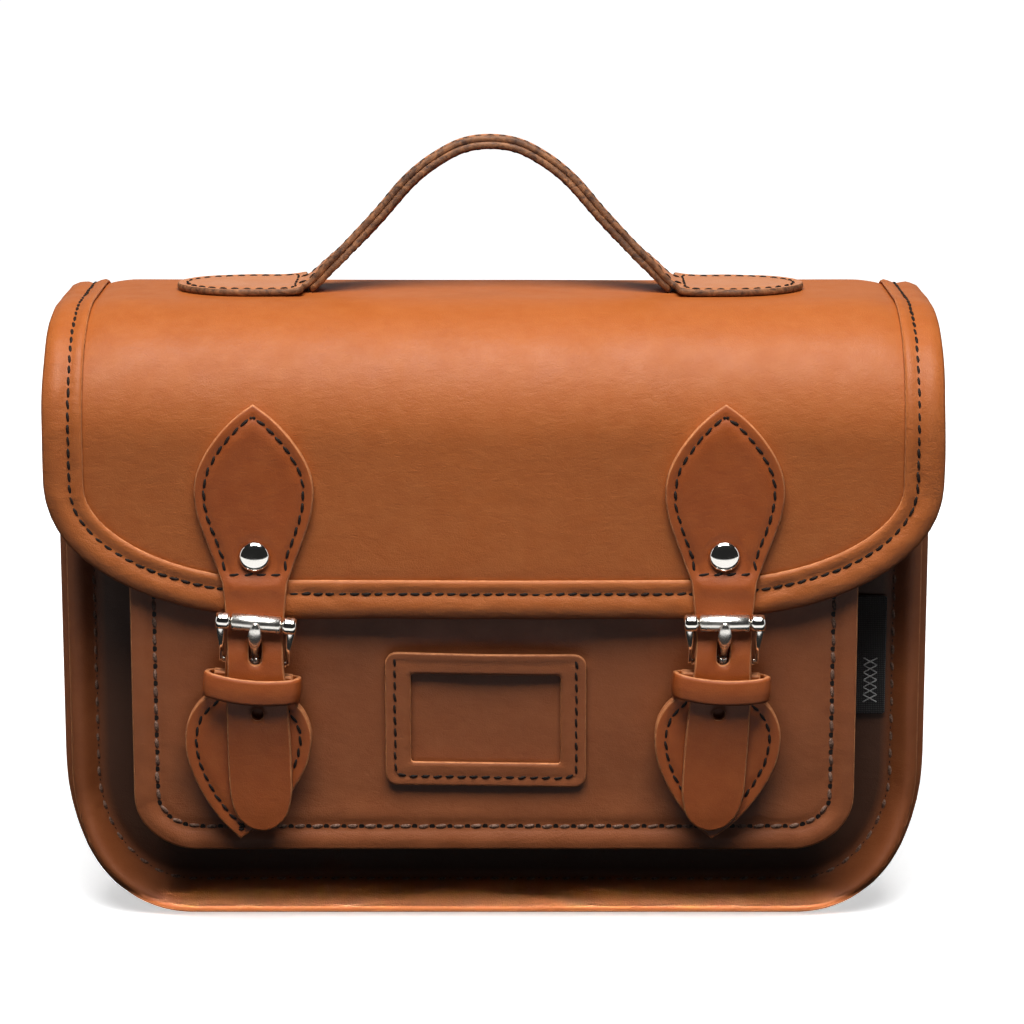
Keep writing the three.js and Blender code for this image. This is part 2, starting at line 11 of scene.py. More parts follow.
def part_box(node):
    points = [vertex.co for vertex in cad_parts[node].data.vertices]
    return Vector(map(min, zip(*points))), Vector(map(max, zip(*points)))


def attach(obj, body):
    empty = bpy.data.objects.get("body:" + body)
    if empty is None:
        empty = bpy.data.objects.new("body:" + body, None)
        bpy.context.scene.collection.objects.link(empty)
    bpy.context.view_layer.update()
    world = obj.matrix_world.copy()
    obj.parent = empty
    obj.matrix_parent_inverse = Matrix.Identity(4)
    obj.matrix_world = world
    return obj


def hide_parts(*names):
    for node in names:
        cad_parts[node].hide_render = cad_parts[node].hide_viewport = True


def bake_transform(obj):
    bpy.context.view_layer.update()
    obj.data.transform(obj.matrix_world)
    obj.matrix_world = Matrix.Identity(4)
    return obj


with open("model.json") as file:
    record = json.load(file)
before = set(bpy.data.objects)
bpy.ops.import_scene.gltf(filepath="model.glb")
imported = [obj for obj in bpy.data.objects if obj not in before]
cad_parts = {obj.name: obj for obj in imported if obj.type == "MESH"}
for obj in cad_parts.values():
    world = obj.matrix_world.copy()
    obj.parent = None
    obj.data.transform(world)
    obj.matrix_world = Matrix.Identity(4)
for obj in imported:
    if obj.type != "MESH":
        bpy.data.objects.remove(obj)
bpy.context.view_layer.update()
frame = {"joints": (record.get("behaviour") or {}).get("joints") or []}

# Everything below is worked out in millimetres and turned into metres by new_mesh().
MM = 0.001
# A distance from a cut edge at which the edge no longer matters.
FAR = 20.0
random = np.random.default_rng(11)

# ---- places taken from the frame --------------------------------------------------------------


def span(node):
    """Lowest and highest corner of a CAD node, in millimetres."""
    low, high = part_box(node)
    return np.array(low) / MM, np.array(high) / MM


def joint_named(name):
    """A joint's entry in the frame."""
    return next(j for j in frame["joints"] if j["name"] == name)


def joint_point(name):
    return np.array(joint_named(name)["pos_m"]) / MM


def joint_axis(name):
    return np.array(joint_named(name)["axis"])


panel_low, panel_high = span("front_panel")
_, back_high = span("back_panel")
pocket_low, pocket_high = span("pocket_panel")
flap_low, flap_high = span("flap")
binding_low, binding_high = span("flap_binding")
HALF_WIDTH = panel_high[0]
LEATHER = panel_high[1] - panel_low[1]
SEAM = 10.0
BODY_CORNER = (42.0, 50.0)
POCKET_CORNER = (22.0, 19.0)
FLAP_CORNER = (80.0, 45.0)
FLAP_HALF_WIDTH = binding_high[0]
FLAP_BOTTOM = binding_low[2]
FLAP_FRONT = flap_low[1]
FLAP_TOP = flap_high[2]
FLAP_BACK = back_high[1]
FRONT_RADIUS = 45.0
BACK_RADIUS = 26.0
HINGE = joint_point("flap_hinge")
SIDES = (("left", -1.0), ("right", 1.0))
STRAP_PITCH = 4.1
STRAP_AT = {side: joint_point(f"strap_{side}_swing")[0] for side, _ in SIDES}

# ---- small maths ------------------------------------------------------------------------------


def unit(v):
    """Vectors scaled to length 1."""
    v = np.asarray(v, float)
    return v / np.maximum(np.linalg.norm(v, axis=-1, keepdims=True), 1e-9)


def smoothstep(low, high, x):
    t = np.clip((np.asarray(x, float) - low) / (high - low), 0, 1)
    return t * t * (3 - 2 * t)


def bump_at(centre, width, x):
    """A soft bump of height 1."""
    return np.exp(-(((np.asarray(x, float) - centre) / width) ** 2))


def wander(a, b, scale, seed=0.0):
    """Smooth noise between about -1 and 1 over two coordinates in millimetres."""
    flat = np.broadcast_arrays(np.asarray(a, float), np.asarray(b, float))
    pairs = zip(flat[0].ravel() / scale, flat[1].ravel() / scale)
    values = [noise.noise((p, q, seed)) for p, q in pairs]
    return np.array(values).reshape(flat[0].shape)


def run_along(line):
    """The distance along a line to each of its points."""
    return np.concatenate([[0], np.cumsum(np.linalg.norm(np.diff(line, axis=0), axis=1))])


def left_of(line):
    """Unit directions to the left of a flat line, one for each of its points."""
    along = unit(np.gradient(line, axis=0))
    return np.stack([-along[:, 1], along[:, 0]], axis=1)


def resample(line, step, closed=False):
    """The same line with points about `step` apart."""
    line = np.asarray(line, float)
    if closed:
        line = np.vstack([line, line[:1]])
    run = run_along(line)
    at = np.linspace(0, run[-1], max(2, int(round(run[-1] / step))) + 1)
    if closed:
        at = at[:-1]
    return np.stack([np.interp(at, run, line[:, k]) for k in range(line.shape[1])], axis=1)


def smooth_line(points, steps=12):
    """A Catmull-Rom curve through a few points."""
    p = np.asarray(points, float)
    p = np.vstack([2 * p[0] - p[1], p, 2 * p[-1] - p[-2]])
    made = []
    for a, b, c, d in zip(p[:-3], p[1:-2], p[2:-1], p[3:]):
        t = np.linspace(0, 1, steps, endpoint=False)[:, None]
        curve = 2 * b + (c - a) * t + (2 * a - 5 * b + 4 * c - d) * t**2
        made.append(0.5 * (curve + (3 * b - a - 3 * c + d) * t**3))
    made.append(p[-2:-1])
    return np.vstack(made)


def eased(half, reach):
    """Half of a symmetric curve, with each point moved to the middle of those within `reach` of it."""
    half = resample(half, 1.0)
    size = int(reach)
    ends = half[-1] + np.outer(np.arange(1, size + 1), half[-1] - half[-2])
    line = np.vstack([half[size:0:-1] * [-1, 1], half, ends])
    kernel = np.hanning(2 * size + 1)
    kernel = kernel / kernel.sum()
    return np.stack([np.convolve(line[:, k], kernel, "valid") for k in range(2)], axis=1)


def quarter(centre, radii, start, end, steps=14):
    """An arc of an ellipse between two angles."""
    angle = np.linspace(start, end, steps + 1)
    return np.stack([centre[0] + radii[0] * np.cos(angle), centre[1] + radii[1] * np.sin(angle)], axis=1)


def mirrored(half):
    """A closed outline from its right half, listed from top to bottom. It runs anticlockwise."""
    half = np.asarray(half, float)
    left = half * [-1, 1]
    inner = half[np.abs(half[:, 0]) > 1e-6]
    return np.vstack([left, inner[::-1]])


def panel_outline(half_width, bottom, top, corner, inset=0.0):
    wide, high = corner[0] - inset, corner[1] - inset
    side, low = half_width - inset, bottom + inset
    bend = quarter((side - wide, low + high), (wide, high), 0, -math.pi / 2)
    return mirrored(np.vstack([[[side, top]], bend]))


def panel_edge(half_width, bottom, top, corner, step=3.0):
    """The open U of a panel's edge from top left to top right, with the directions that point in."""
    line = resample(panel_outline(half_width, bottom, top, corner), step)
    return line, left_of(line)


def offset_polygon(points, distance):
    """A closed anticlockwise outline drawn in by a distance."""
    p = np.asarray(points, float)
    before, after = unit(p - np.roll(p, 1, 0)), unit(np.roll(p, -1, 0) - p)
    first = np.stack([-before[:, 1], before[:, 0]], axis=1)
    second = np.stack([-after[:, 1], after[:, 0]], axis=1)
    normal = unit(first + second)
    lean = np.maximum(0.6, np.sum(normal * first, axis=1, keepdims=True))
    return p + normal * distance / lean


def edge_distance(points, outline):
    """How far each point lies from a closed outline."""
    a = np.asarray(outline, float)
    b = np.roll(a, -1, 0)
    side = b - a
    best = np.full(len(points), 1e9)
    for start, d in zip(a, side):
        t = np.clip(((points - start) @ d) / max(d @ d, 1e-12), 0, 1)
        best = np.minimum(best, np.linalg.norm(points - start - t[:, None] * d, axis=1))
    return best


def is_inside(points, outline):
    x, y = points[:, 0], points[:, 1]
    inside = np.zeros(len(points), bool)
    for (ax, ay), (bx, by) in zip(outline, np.roll(outline, -1, 0)):
        if ay == by:
            continue
        crosses = (ay > y) != (by > y)
        inside ^= crosses & (x < (bx - ax) * (y - ay) / (by - ay) + ax)
    return inside


# ---- mesh makers ------------------------------------------------------------------------------


def new_mesh(name, vertices, faces, materials, which=None, distance=None):
    """A smooth-shaded object from points in millimetres. `which` is each face's material, and `distance`
    each point's distance from the leather's cut edge."""
    mesh = bpy.data.meshes.new(name)
    mesh.from_pydata((np.asarray(vertices, float) * MM).tolist(), [], [list(map(int, f)) for f in faces])
    for material in materials:
        mesh.materials.append(material)
    if which is not None:
        mesh.polygons.foreach_set("material_index", np.asarray(which, np.int32))
    mesh.polygons.foreach_set("use_smooth", np.full(len(mesh.polygons), True))
    if distance is None:
        distance = np.full(len(mesh.vertices), FAR)
    edge = mesh.attributes.new("edge_mm", "FLOAT", "POINT")
    edge.data.foreach_set("value", np.asarray(distance, np.float32))
    rest = mesh.attributes.new("rest", "FLOAT_VECTOR", "POINT")
    rest.data.foreach_set("vector", (np.asarray(vertices, float) * MM).ravel().astype(np.float32))
    outward = bmesh.new()
    outward.from_mesh(mesh)
    bmesh.ops.recalc_face_normals(outward, faces=outward.faces[:])
    outward.to_mesh(mesh)
    outward.free()
    mesh.update()
    piece = bpy.data.objects.new(name, mesh)
    bpy.context.scene.collection.objects.link(piece)
    return piece


# The cut edge's section, as (inset, share of the thickness): slightly rounded.
EDGE_SECTION = ((0.13, 0.86), (-0.03, 0.6), (-0.03, 0.38), (0.13, 0.14))


def points_within(outline, holes, rings, spacing):
    """Points for a sheet's faces: rows that follow its edge, and a triangular grid further in."""
    low, high = outline.min(0), outline.max(0)
    us = np.arange(low[0], high[0], spacing)
    vs = np.arange(low[1], high[1], spacing * 0.866)
    grid = np.array([(u + (spacing / 2 if j % 2 else 0), v) for j, v in enumerate(vs) for u in us])
    clouds = [(offset_polygon(outline, r), r * 0.8) for r in rings]
    clouds.append((grid, rings[-1] + spacing * 0.4))
    kept = []
    for cloud, gap in clouds:
        keep = is_inside(cloud, outline) & (edge_distance(cloud, outline) > gap)
        for h in holes:
            keep &= ~is_inside(cloud, h) & (edge_distance(cloud, h) > 1.0)
        kept.append(cloud[keep])
    return kept


def triangulated(loops, others):
    """Triangles over flat points, inside the first loop and outside the rest. Gives the points, the
    triangles and the number that each point of the loops got."""
    edges, start = [], 0
    for loop in loops:
        edges += [(start + i, start + (i + 1) % len(loop)) for i in range(len(loop))]
        start += len(loop)
    made = delaunay_2d_cdt([Vector(p) for p in np.vstack([*loops, *others])], edges, [], 0, 1e-5)
    coords, triangles = np.array([tuple(v) for v in made[0]]), np.array(made[2])
    centres = coords[triangles].mean(axis=1)
    keep = is_inside(centres, loops[0])
    for loop in loops[1:]:
        keep &= ~is_inside(centres, loop)
    numbers = {old: new for new, olds in enumerate(made[3]) for old in olds}
    return coords, triangles[keep], numbers


def cut_sheet(name, outline, thickness, place, materials, holes=(), spacing=4.0, rings=(1.0, 2.0, 3.2, 4.6),
              bevel=0.45, relief=None, edge_step=1.6):
    """A piece cut from leather. `outline` and `holes` are flat, and place(u, v, w) puts a flat point at
    height w above the leather's back into space. relief(u, v, d) raises the front, d from the cut edge."""
    outline = resample(outline, edge_step, closed=True)
    holes = [resample(h, min(edge_step, 0.7), closed=True) for h in holes]
    loops = [offset_polygon(outline, bevel)] + [offset_polygon(h, -bevel * 0.6) for h in holes]
    coords, triangles, numbers = triangulated(loops, points_within(outline, holes, rings, spacing))
    u, v = coords[:, 0], coords[:, 1]
    depth = edge_distance(coords, outline)
    for h in holes:
        depth = np.minimum(depth, edge_distance(coords, h) + 0.3)
    raised = np.zeros(len(coords)) if relief is None else relief(u, v, depth)
    vertices = [place(u, v, thickness + raised), place(u, v, np.zeros(len(coords)))]
    distance = [depth, depth]
    count = len(coords)
    faces = [tuple(t) for t in triangles] + [tuple(t[::-1] + count) for t in triangles]
    which = [0] * len(faces)
    total, start = 2 * count, 0
    for loop, source, inward in zip(loops, [outline, *holes], [1.0] + [-1.0] * len(holes)):
        top = [numbers[start + i] for i in range(len(loop))]
        start += len(loop)
        rows = [top]
        for inset, share in EDGE_SECTION:
            ring = offset_polygon(source, inset * inward)
            vertices.append(place(ring[:, 0], ring[:, 1], thickness * share + raised[top] * share))
            distance.append(np.zeros(len(ring)))
            rows.append(list(range(total, total + len(ring))))
            total += len(ring)
        rows.append([i + count for i in top])
        for a, b in zip(rows[:-1], rows[1:]):
            for i in range(len(a)):
                j = (i + 1) % len(a)
                faces.append((a[i], b[i], b[j], a[j]))
                which.append(1)
    return new_mesh(name, np.vstack(vertices), faces, materials, which, np.concatenate(distance))


def strip_solid(name, outer, inner, materials, distance=None, closed=False):
    """A closed strip between two grids of points, outer[i][j] and inner[i][j]. Its edges get the second
    material and a slight bulge. With `closed` the last row joins the first."""
    rows, columns = outer.shape[:2]
    count = rows * columns
    middle = (outer + inner) / 2
    faces, which = [], []
    for i in range(rows if closed else rows - 1):
        for j in range(columns - 1):
            a = i * columns + j
            b = (i + 1) % rows * columns + j
            faces.append((a, b, b + 1, a + 1))
            faces.append((a + 1 + count, b + 1 + count, b + count, a + count))
            which += [0, 0]
    if closed:
        borders = [[(i, j) for i in range(rows)] for j in (0, columns - 1)]
    else:
        border = [(i, 0) for i in range(rows)] + [(rows - 1, j) for j in range(1, columns)]
        border += [(i, columns - 1) for i in range(rows - 2, -1, -1)]
        borders = [border + [(0, j) for j in range(columns - 2, 0, -1)]]
    vertices = [outer.reshape(-1, 3), inner.reshape(-1, 3)]
    total = 2 * count
    for border in borders:
        last_row = 0 if closed else rows - 1
        inside = [
            (
                i if closed else min(max(i, 1), last_row - 1),
                min(max(j, 1), columns - 2) if columns > 2 else 1 - j,
            )
            for i, j in border
        ]
        edge = np.array([middle[i, j] for i, j in border])
        near = np.array([middle[i, j] for i, j in inside])
        vertices.append(edge + unit(edge - near) * 0.28)
        ids = [i * columns + j for i, j in border]
        for n in range(len(ids)):
            m = (n + 1) % len(ids)
            faces.append((ids[m], ids[n], total + n, total + m))
            faces.append((total + m, total + n, ids[n] + count, ids[m] + count))
            which += [1, 1]
        total += len(ids)
    spread = np.full((rows, columns), FAR) if distance is None else distance
    values = np.concatenate([spread.ravel(), spread.ravel(), np.zeros(total - 2 * count)])
    return new_mesh(name, np.vstack(vertices), faces, materials, which, values)


def rotation_to(direction):
    return Vector((0, 0, 1)).rotation_difference(Vector(tuple(direction))).to_matrix()


def ring_faces(count, sides, closed=False, first=0):
    """The faces between rings of points, which each have `sides` points."""
    faces = []
    for i in range(count if closed else count - 1):
        a, b = first + i * sides, first + (i + 1) % count * sides
        faces += [(a + k, a + (k + 1) % sides, b + (k + 1) % sides, b + k) for k in range(sides)]
    return faces


def rod_faces(count, sides, first=0):
    """The faces of a rod over rings of points, with both ends closed."""
    last = first + (count - 1) * sides
    ends = [tuple(range(first + sides - 1, first - 1, -1)), tuple(range(last, last + sides))]
    return ring_faces(count, sides, first=first) + ends


def lathe(name, profile, origin, direction, material, steps=48, ring=False):
    """A surface of revolution from (radius, height) points. They start and end on the axis, or with
    `ring` they go round a closed section beside it."""
    profile = np.asarray(profile, float)
    turn = np.array(rotation_to(direction))
    angle = np.linspace(0, 2 * math.pi, steps, endpoint=False)
    rings = profile if ring else profile[1:-1]
    points = [
        np.stack([radius * np.cos(angle), radius * np.sin(angle), np.full(steps, height)], axis=1)
        for radius, height in rings
    ]
    count = len(rings)
    faces = ring_faces(count, steps, closed=ring)
    if not ring:
        points.append([[0, 0, profile[0, 1]], [0, 0, profile[-1, 1]]])
        bottom, last = count * steps, (count - 1) * steps
        faces += [(bottom, (i + 1) % steps, i) for i in range(steps)]
        faces += [(bottom + 1, last + i, last + (i + 1) % steps) for i in range(steps)]
    return new_mesh(name, np.vstack(points) @ turn.T + origin, faces, [material])


def loft(name, stations, material):
    """A skin over closed sections, stations[i][k], with both ends closed."""
    faces = rod_faces(*stations.shape[:2])
    return new_mesh(name, stations.reshape(-1, 3), faces, [material])


def joined(name, pieces):
    """Several pieces become one object, which keeps their meshes as they are."""
    merged = bmesh.new()
    for piece in pieces:
        merged.from_mesh(piece.data)
    mesh = pieces[0].data.copy()
    merged.to_mesh(mesh)
    merged.free()
    for piece in pieces:
        bpy.data.objects.remove(piece)
    mesh.name = name
    result = bpy.data.objects.new(name, mesh)
    bpy.context.scene.collection.objects.link(result)
    return result


def tube(name, path, radius, material, sides=16, closed=False):
    """Round wire along a path."""
    path = np.asarray(path, float)
    along = unit(np.roll(path, -1, 0) - np.roll(path, 1, 0)) if closed else unit(np.gradient(path, axis=0))
    side = unit(np.cross(along, (1.0, 0.0, 0.0)))
    other = unit(np.cross(side, along))
    angle = np.linspace(0, 2 * math.pi, sides, endpoint=False)
    rings = np.array([
        p + radius * (np.cos(angle)[:, None] * s + np.sin(angle)[:, None] * o)
        for p, s, o in zip(path, side, other)
    ])
    if not closed:
        return loft(name, rings, material)
    return new_mesh(name, rings.reshape(-1, 3), ring_faces(len(path), sides, closed=True), [material])


STITCH_SLANT = 0.12
STITCH_LIFT = 0.2


def sew(name, line, up, pitch, material, radius=0.5, fill=0.8):
    """A row of stitches along a line on a surface. `up` are the surface's outward directions."""
    stations = resample(np.hstack([line, up]), pitch)
    points, normals = stations[:, :3], unit(stations[:, 3:])
    t = np.array([-0.5, -0.46, -0.36, -0.2, 0.0, 0.2, 0.36, 0.46, 0.5])
    size = np.array([0.1, 0.42, 0.75, 1.0, 1.08, 1.0, 0.75, 0.42, 0.1])
    height = STITCH_LIFT * (1 - (2 * t) ** 2) - radius * 0.9 * np.abs(2 * t) ** 6
    angle = np.linspace(0, 2 * math.pi, 8, endpoint=False)
    vertices, faces = [], []
    for a, b, na, nb in zip(points[:-1], points[1:], normals[:-1], normals[1:]):
        along, normal = b - a, unit(na + nb)
        across = unit(np.cross(normal, along))
        turn = STITCH_SLANT + random.normal(0, 0.05)
        direction = along * math.cos(turn) + across * np.linalg.norm(along) * math.sin(turn)
        across = unit(np.cross(normal, direction))
        middle = (a + b) / 2 + random.normal(0, 0.05) * across
        reach = fill * (1 + random.normal(0, 0.03))
        thick = radius * (1 + random.normal(0, 0.05))
        rings = middle + direction * (t * reach)[:, None] + normal * height[:, None]
        ring = across[None] * np.cos(angle)[:, None] + normal[None] * (0.72 * np.sin(angle))[:, None]
        faces += rod_faces(len(t), 8, first=len(vertices) * len(t) * 8)
        vertices.append((rings[:, None] + ring[None] * (thick * size)[:, None, None]).reshape(-1, 3))
    return new_mesh(name, np.vstack(vertices), faces, [material])


def pricks(name, line, up, pitch, material, radius):
    """The needle holes between the stitches of a row, as small cups in the leather, coloured near black as
    painted shade inside the holes.
    """
    stations = resample(np.hstack([line, up]), pitch)
    vertices, faces = [], []
    angle = np.linspace(0, 2 * math.pi, 10, endpoint=False)
    flat = np.stack([np.cos(angle), np.sin(angle), np.zeros(10)], axis=1)
    for n, (p, normal) in enumerate(zip(stations[:, :3], unit(stations[:, 3:]))):
        turn = np.array(rotation_to(normal))
        for scale, drop in ((1.0, 0.02), (0.7, 0.06), (0.3, 0.0)):
            vertices.append((flat * radius * scale) @ turn.T + p + normal * drop)
        faces += ring_faces(3, 10, first=n * 30)
        faces.append(tuple(n * 30 + 20 + k for k in range(10)))
    return new_mesh(name, np.vstack(vertices), faces, [material])


def lines_up(place, flat, height):
    """A flat line put on a piece's surface, with the outward direction at each point."""
    flat = np.asarray(flat, float)
    u, v = flat[:, 0], flat[:, 1]
    low = place(u, v, np.full(len(flat), float(height)))
    high = place(u, v, np.full(len(flat), float(height) + 1))
    return low, unit(high - low)


def finish_piece(piece, body, slot, *nodes):
    """Fixes a piece to one body and hides the CAD nodes that it stands for. `slot` is not used."""
    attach(piece, body)
    if nodes:
        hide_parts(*nodes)
    return piece


def bend_piece(piece, bodies, start, end, slot, *nodes):
    """Bakes a piece's placement into its mesh and hides the CAD nodes that it stands for. `bodies` and `slot`
    are not used, and `start` and `end` are only turned into metres.
    """
    start, end = tuple(np.asarray(start) * MM), tuple(np.asarray(end) * MM)
    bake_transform(piece)
    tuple(start)
    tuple(end)
    if nodes:
        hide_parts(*nodes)
    return piece


# ---- materials --------------------------------------------------------------------------------


SOCKETS = {
    "coat_weight": "Coat Weight", "coat_roughness": "Coat Roughness", "sheen_weight": "Sheen Weight",
    "specular_ior_level": "Specular IOR Level", "metallic": "Metallic",
}


class Nodes:
    """A small helper that adds shader nodes and links them."""

    def __init__(self, name):
        self.material = bpy.data.materials.new(name)
        self.material.use_nodes = True
        self.tree = self.material.node_tree
        self.shader = self.tree.nodes["Principled BSDF"]
        self.rest = self.add("ShaderNodeAttribute", attribute_name="rest").outputs["Vector"]

    def add(self, kind, **settings):
        node = self.tree.nodes.new(kind)
        for key, value in settings.items():
            setattr(node, key, value)
        return node

    def link(self, source, target):
        self.tree.links.new(source, target)

    def scaled(self, scale):
        mapping = self.add("ShaderNodeMapping")
        self.link(self.rest, mapping.inputs["Vector"])
        mapping.inputs["Scale"].default_value = scale
        return mapping.outputs["Vector"]

    def noise(self, scale, detail=2.0, roughness=0.5, vector=None, distortion=0.0):
        node = self.add("ShaderNodeTexNoise")
        self.link(vector or self.rest, node.inputs["Vector"])
        node.inputs["Scale"].default_value = scale
        node.inputs["Detail"].default_value = detail
        node.inputs["Roughness"].default_value = roughness
        node.inputs["Distortion"].default_value = distortion
        return node.outputs["Fac"]

    def cells(self, scale):
        node = self.add("ShaderNodeTexVoronoi", feature="DISTANCE_TO_EDGE")
        self.link(self.rest, node.inputs["Vector"])
        node.inputs["Scale"].default_value = scale
        return node.outputs["Distance"]

    def ramp(self, value, low, high, to_low=0.0, to_high=1.0):
        node = self.add("ShaderNodeMapRange")
        self.link(value, node.inputs["Value"])
        for key, number in zip(("From Min", "From Max", "To Min", "To Max"), (low, high, to_low, to_high)):
            node.inputs[key].default_value = number
        return node.outputs["Result"]

    def put(self, value, socket):
        """Links an output to a socket, or writes a plain number or colour into it."""
        if isinstance(value, tuple):
            socket.default_value = (*value, 1.0)
        elif isinstance(value, (int, float)):
            socket.default_value = value
        elif value is not None:
            self.link(value, socket)

    def maths(self, operation, a, b):
        node = self.add("ShaderNodeMath", operation=operation)
        self.put(a, node.inputs[0])
        self.put(b, node.inputs[1])
        return node.outputs["Value"]

    def mix(self, share, a, b):
        node = self.add("ShaderNodeMix", data_type="RGBA")
        self.link(share, node.inputs["Factor"])
        self.put(a, node.inputs["A"])
        self.put(b, node.inputs["B"])
        return node.outputs["Result"]

    def bump(self, height, distance, strength=1.0, normal=None):
        node = self.add("ShaderNodeBump")
        self.link(height, node.inputs["Height"])
        node.inputs["Distance"].default_value = distance
        node.inputs["Strength"].default_value = strength
        if normal is not None:
            self.link(normal, node.inputs["Normal"])
        return node.outputs["Normal"]

    def finish(self, colour=None, roughness=None, normal=None, **values):
        for name, value in (("Base Color", colour), ("Roughness", roughness), ("Normal", normal)):
            self.put(value, self.shader.inputs[name])
        for name, value in values.items():
            self.shader.inputs[SOCKETS[name]].default_value = value
        return self.material


def leather(name, base, deep, pale, grain=1.0, crease=1.0, roughness=(0.44, 0.58), coat=0.12, shade=None):
    """Smooth bridle leather: blotches of colour, pores, fine creases and paler worn edges. `shade` is painted
    shade: a darker colour mixed in inward of the seam, where the panel lies in the shadow of the flap and
    pocket."""
    n = Nodes(name)
    blotches = n.ramp(n.noise(16, 4, 0.6, distortion=0.4), 0.3, 0.7)
    mottle = n.ramp(n.noise(150, 4, 0.65), 0.35, 0.72)
    colour = n.mix(n.maths("MULTIPLY", blotches, 0.55), base, deep)
    colour = n.mix(n.maths("MULTIPLY", mottle, 0.28), colour, pale)
    specks = n.ramp(n.noise(1500, 2, 0.5), 0.66, 0.74)
    colour = n.mix(n.maths("MULTIPLY", specks, 0.3), colour, pale)
    edge = n.add("ShaderNodeAttribute", attribute_name="edge_mm").outputs["Fac"]
    wear = n.ramp(n.maths("ADD", edge, n.maths("MULTIPLY", n.noise(260, 3), 1.2)), 0.4, 1.5, 1.0, 0.0)
    colour = n.mix(n.maths("MULTIPLY", wear, 0.45), colour, pale)
    # Painted shade: darker colour inward of the seam, standing in for the shadow cast by the flap and pocket.
    if shade:
        colour = n.mix(n.ramp(edge, 8.0, 13.0, 0.0, 0.85), colour, shade)
    pores = n.cells(1150)
    creases = n.noise(38, 4, 0.55, n.scaled((1.0, 1.0, 1.8)), 0.8)
    normal = n.bump(creases, 0.0008, 0.22 * crease)
    wrinkles = n.noise(260, 4, 0.62, n.scaled((0.7, 1.0, 1.3)), 0.5)
    normal = n.bump(wrinkles, 0.00045, 0.32 * grain, normal)
    normal = n.bump(n.ramp(pores, 0.0, 0.12), 0.00005, 0.45 * grain, normal)
    rough = n.ramp(n.noise(70, 4, 0.6), 0.3, 0.7, *roughness)
    return n.finish(colour, rough, normal, coat_weight=coat, coat_roughness=0.32, specular_ior_level=0.4)


def cut_edge(name, pale, deep):
    """The raw, layered edge of cut leather."""
    n = Nodes(name)
    fibres = n.noise(900, 4, 0.7, n.scaled((0.35, 1.0, 0.35)), 0.6)
    patches = n.ramp(n.noise(110, 3), 0.35, 0.65)
    colour = n.mix(n.ramp(fibres, 0.35, 0.65), deep, pale)
    colour = n.mix(n.maths("MULTIPLY", patches, 0.4), colour, deep)
    normal = n.bump(fibres, 0.0004, 0.7)
    return n.finish(colour, 0.6, normal)


def thread(name, dark, light):
    """Waxed thread with a visible twist."""
    n = Nodes(name)
    strands = n.noise(1600, 2, 0.5, distortion=1.0)
    colour = n.mix(n.ramp(strands, 0.35, 0.65), dark, light)
    normal = n.bump(strands, 0.00025, 0.8)
    return n.finish(colour, 0.62, normal, specular_ior_level=0.25)


def nickel_plate(name, smooth, rough):
    """Plated metal with faint smears and a little tarnish."""
    n = Nodes(name)
    smears = n.ramp(n.noise(240, 4, 0.6), 0.3, 0.75, smooth, rough)
    tarnish = n.ramp(n.noise(90, 4), 0.45, 0.8)
    colour = n.mix(n.maths("MULTIPLY", tarnish, 0.3), (0.90, 0.87, 0.82), (0.70, 0.65, 0.58))
    normal = n.bump(n.noise(700, 2, 0.5, n.scaled((1.0, 1.0, 0.3))), 0.00004, 0.3)
    return n.finish(colour, smears, normal, metallic=1.0)


def black_ribbon():
    """Plain black woven tape."""
    n = Nodes("black_ribbon")
    warp = n.add("ShaderNodeTexWave", wave_type="BANDS", bands_direction="X")
    weft = n.add("ShaderNodeTexWave", wave_type="BANDS", bands_direction="Z")
    for wave, scale in ((warp, 520.0), (weft, 430.0)):
        n.link(n.rest, wave.inputs["Vector"])
        wave.inputs["Scale"].default_value = scale
        wave.inputs["Distortion"].default_value = 0.6
    weave = n.maths("MULTIPLY", warp.outputs["Fac"], weft.outputs["Fac"])
    colour = n.mix(weave, (0.006, 0.006, 0.007), (0.045, 0.042, 0.042))
    normal = n.bump(weave, 0.0003, 0.8)
    return n.finish(colour, 0.75, normal, sheen_weight=0.3)


# Each leather has a base colour, a deeper one for its blotches and a paler one for wear.
FLAP_TAN = ((0.40, 0.108, 0.017), (0.33, 0.086, 0.013), (0.48, 0.165, 0.042))
BODY_TAN = ((0.290, 0.083, 0.022), (0.215, 0.060, 0.016), (0.39, 0.135, 0.048))
STRAP_TAN = ((0.335, 0.074, 0.009), (0.260, 0.055, 0.007), (0.45, 0.130, 0.026))
# The handle's colours are paler than the flap's: painted light, standing in for the pale sheen on its
# upward-facing plates.
PLATE_TAN = ((0.48, 0.175, 0.060), (0.42, 0.140, 0.044), (0.60, 0.27, 0.12))
flap_leather = leather(
    "tan_flap_leather", *FLAP_TAN, grain=1.5, crease=0.9, roughness=(0.52, 0.66), coat=0.06,
)
binding_leather = leather(
    "tan_binding_leather", *FLAP_TAN, grain=1.8, crease=2.2, roughness=(0.50, 0.64), coat=0.06,
)
handle_leather = leather("tan_handle_leather", *PLATE_TAN, grain=1.3, roughness=(0.40, 0.52), coat=0.2)
body_leather = leather(
    "tan_body_leather", *BODY_TAN, grain=1.25, crease=1.6, roughness=(0.48, 0.62), coat=0.06,
)
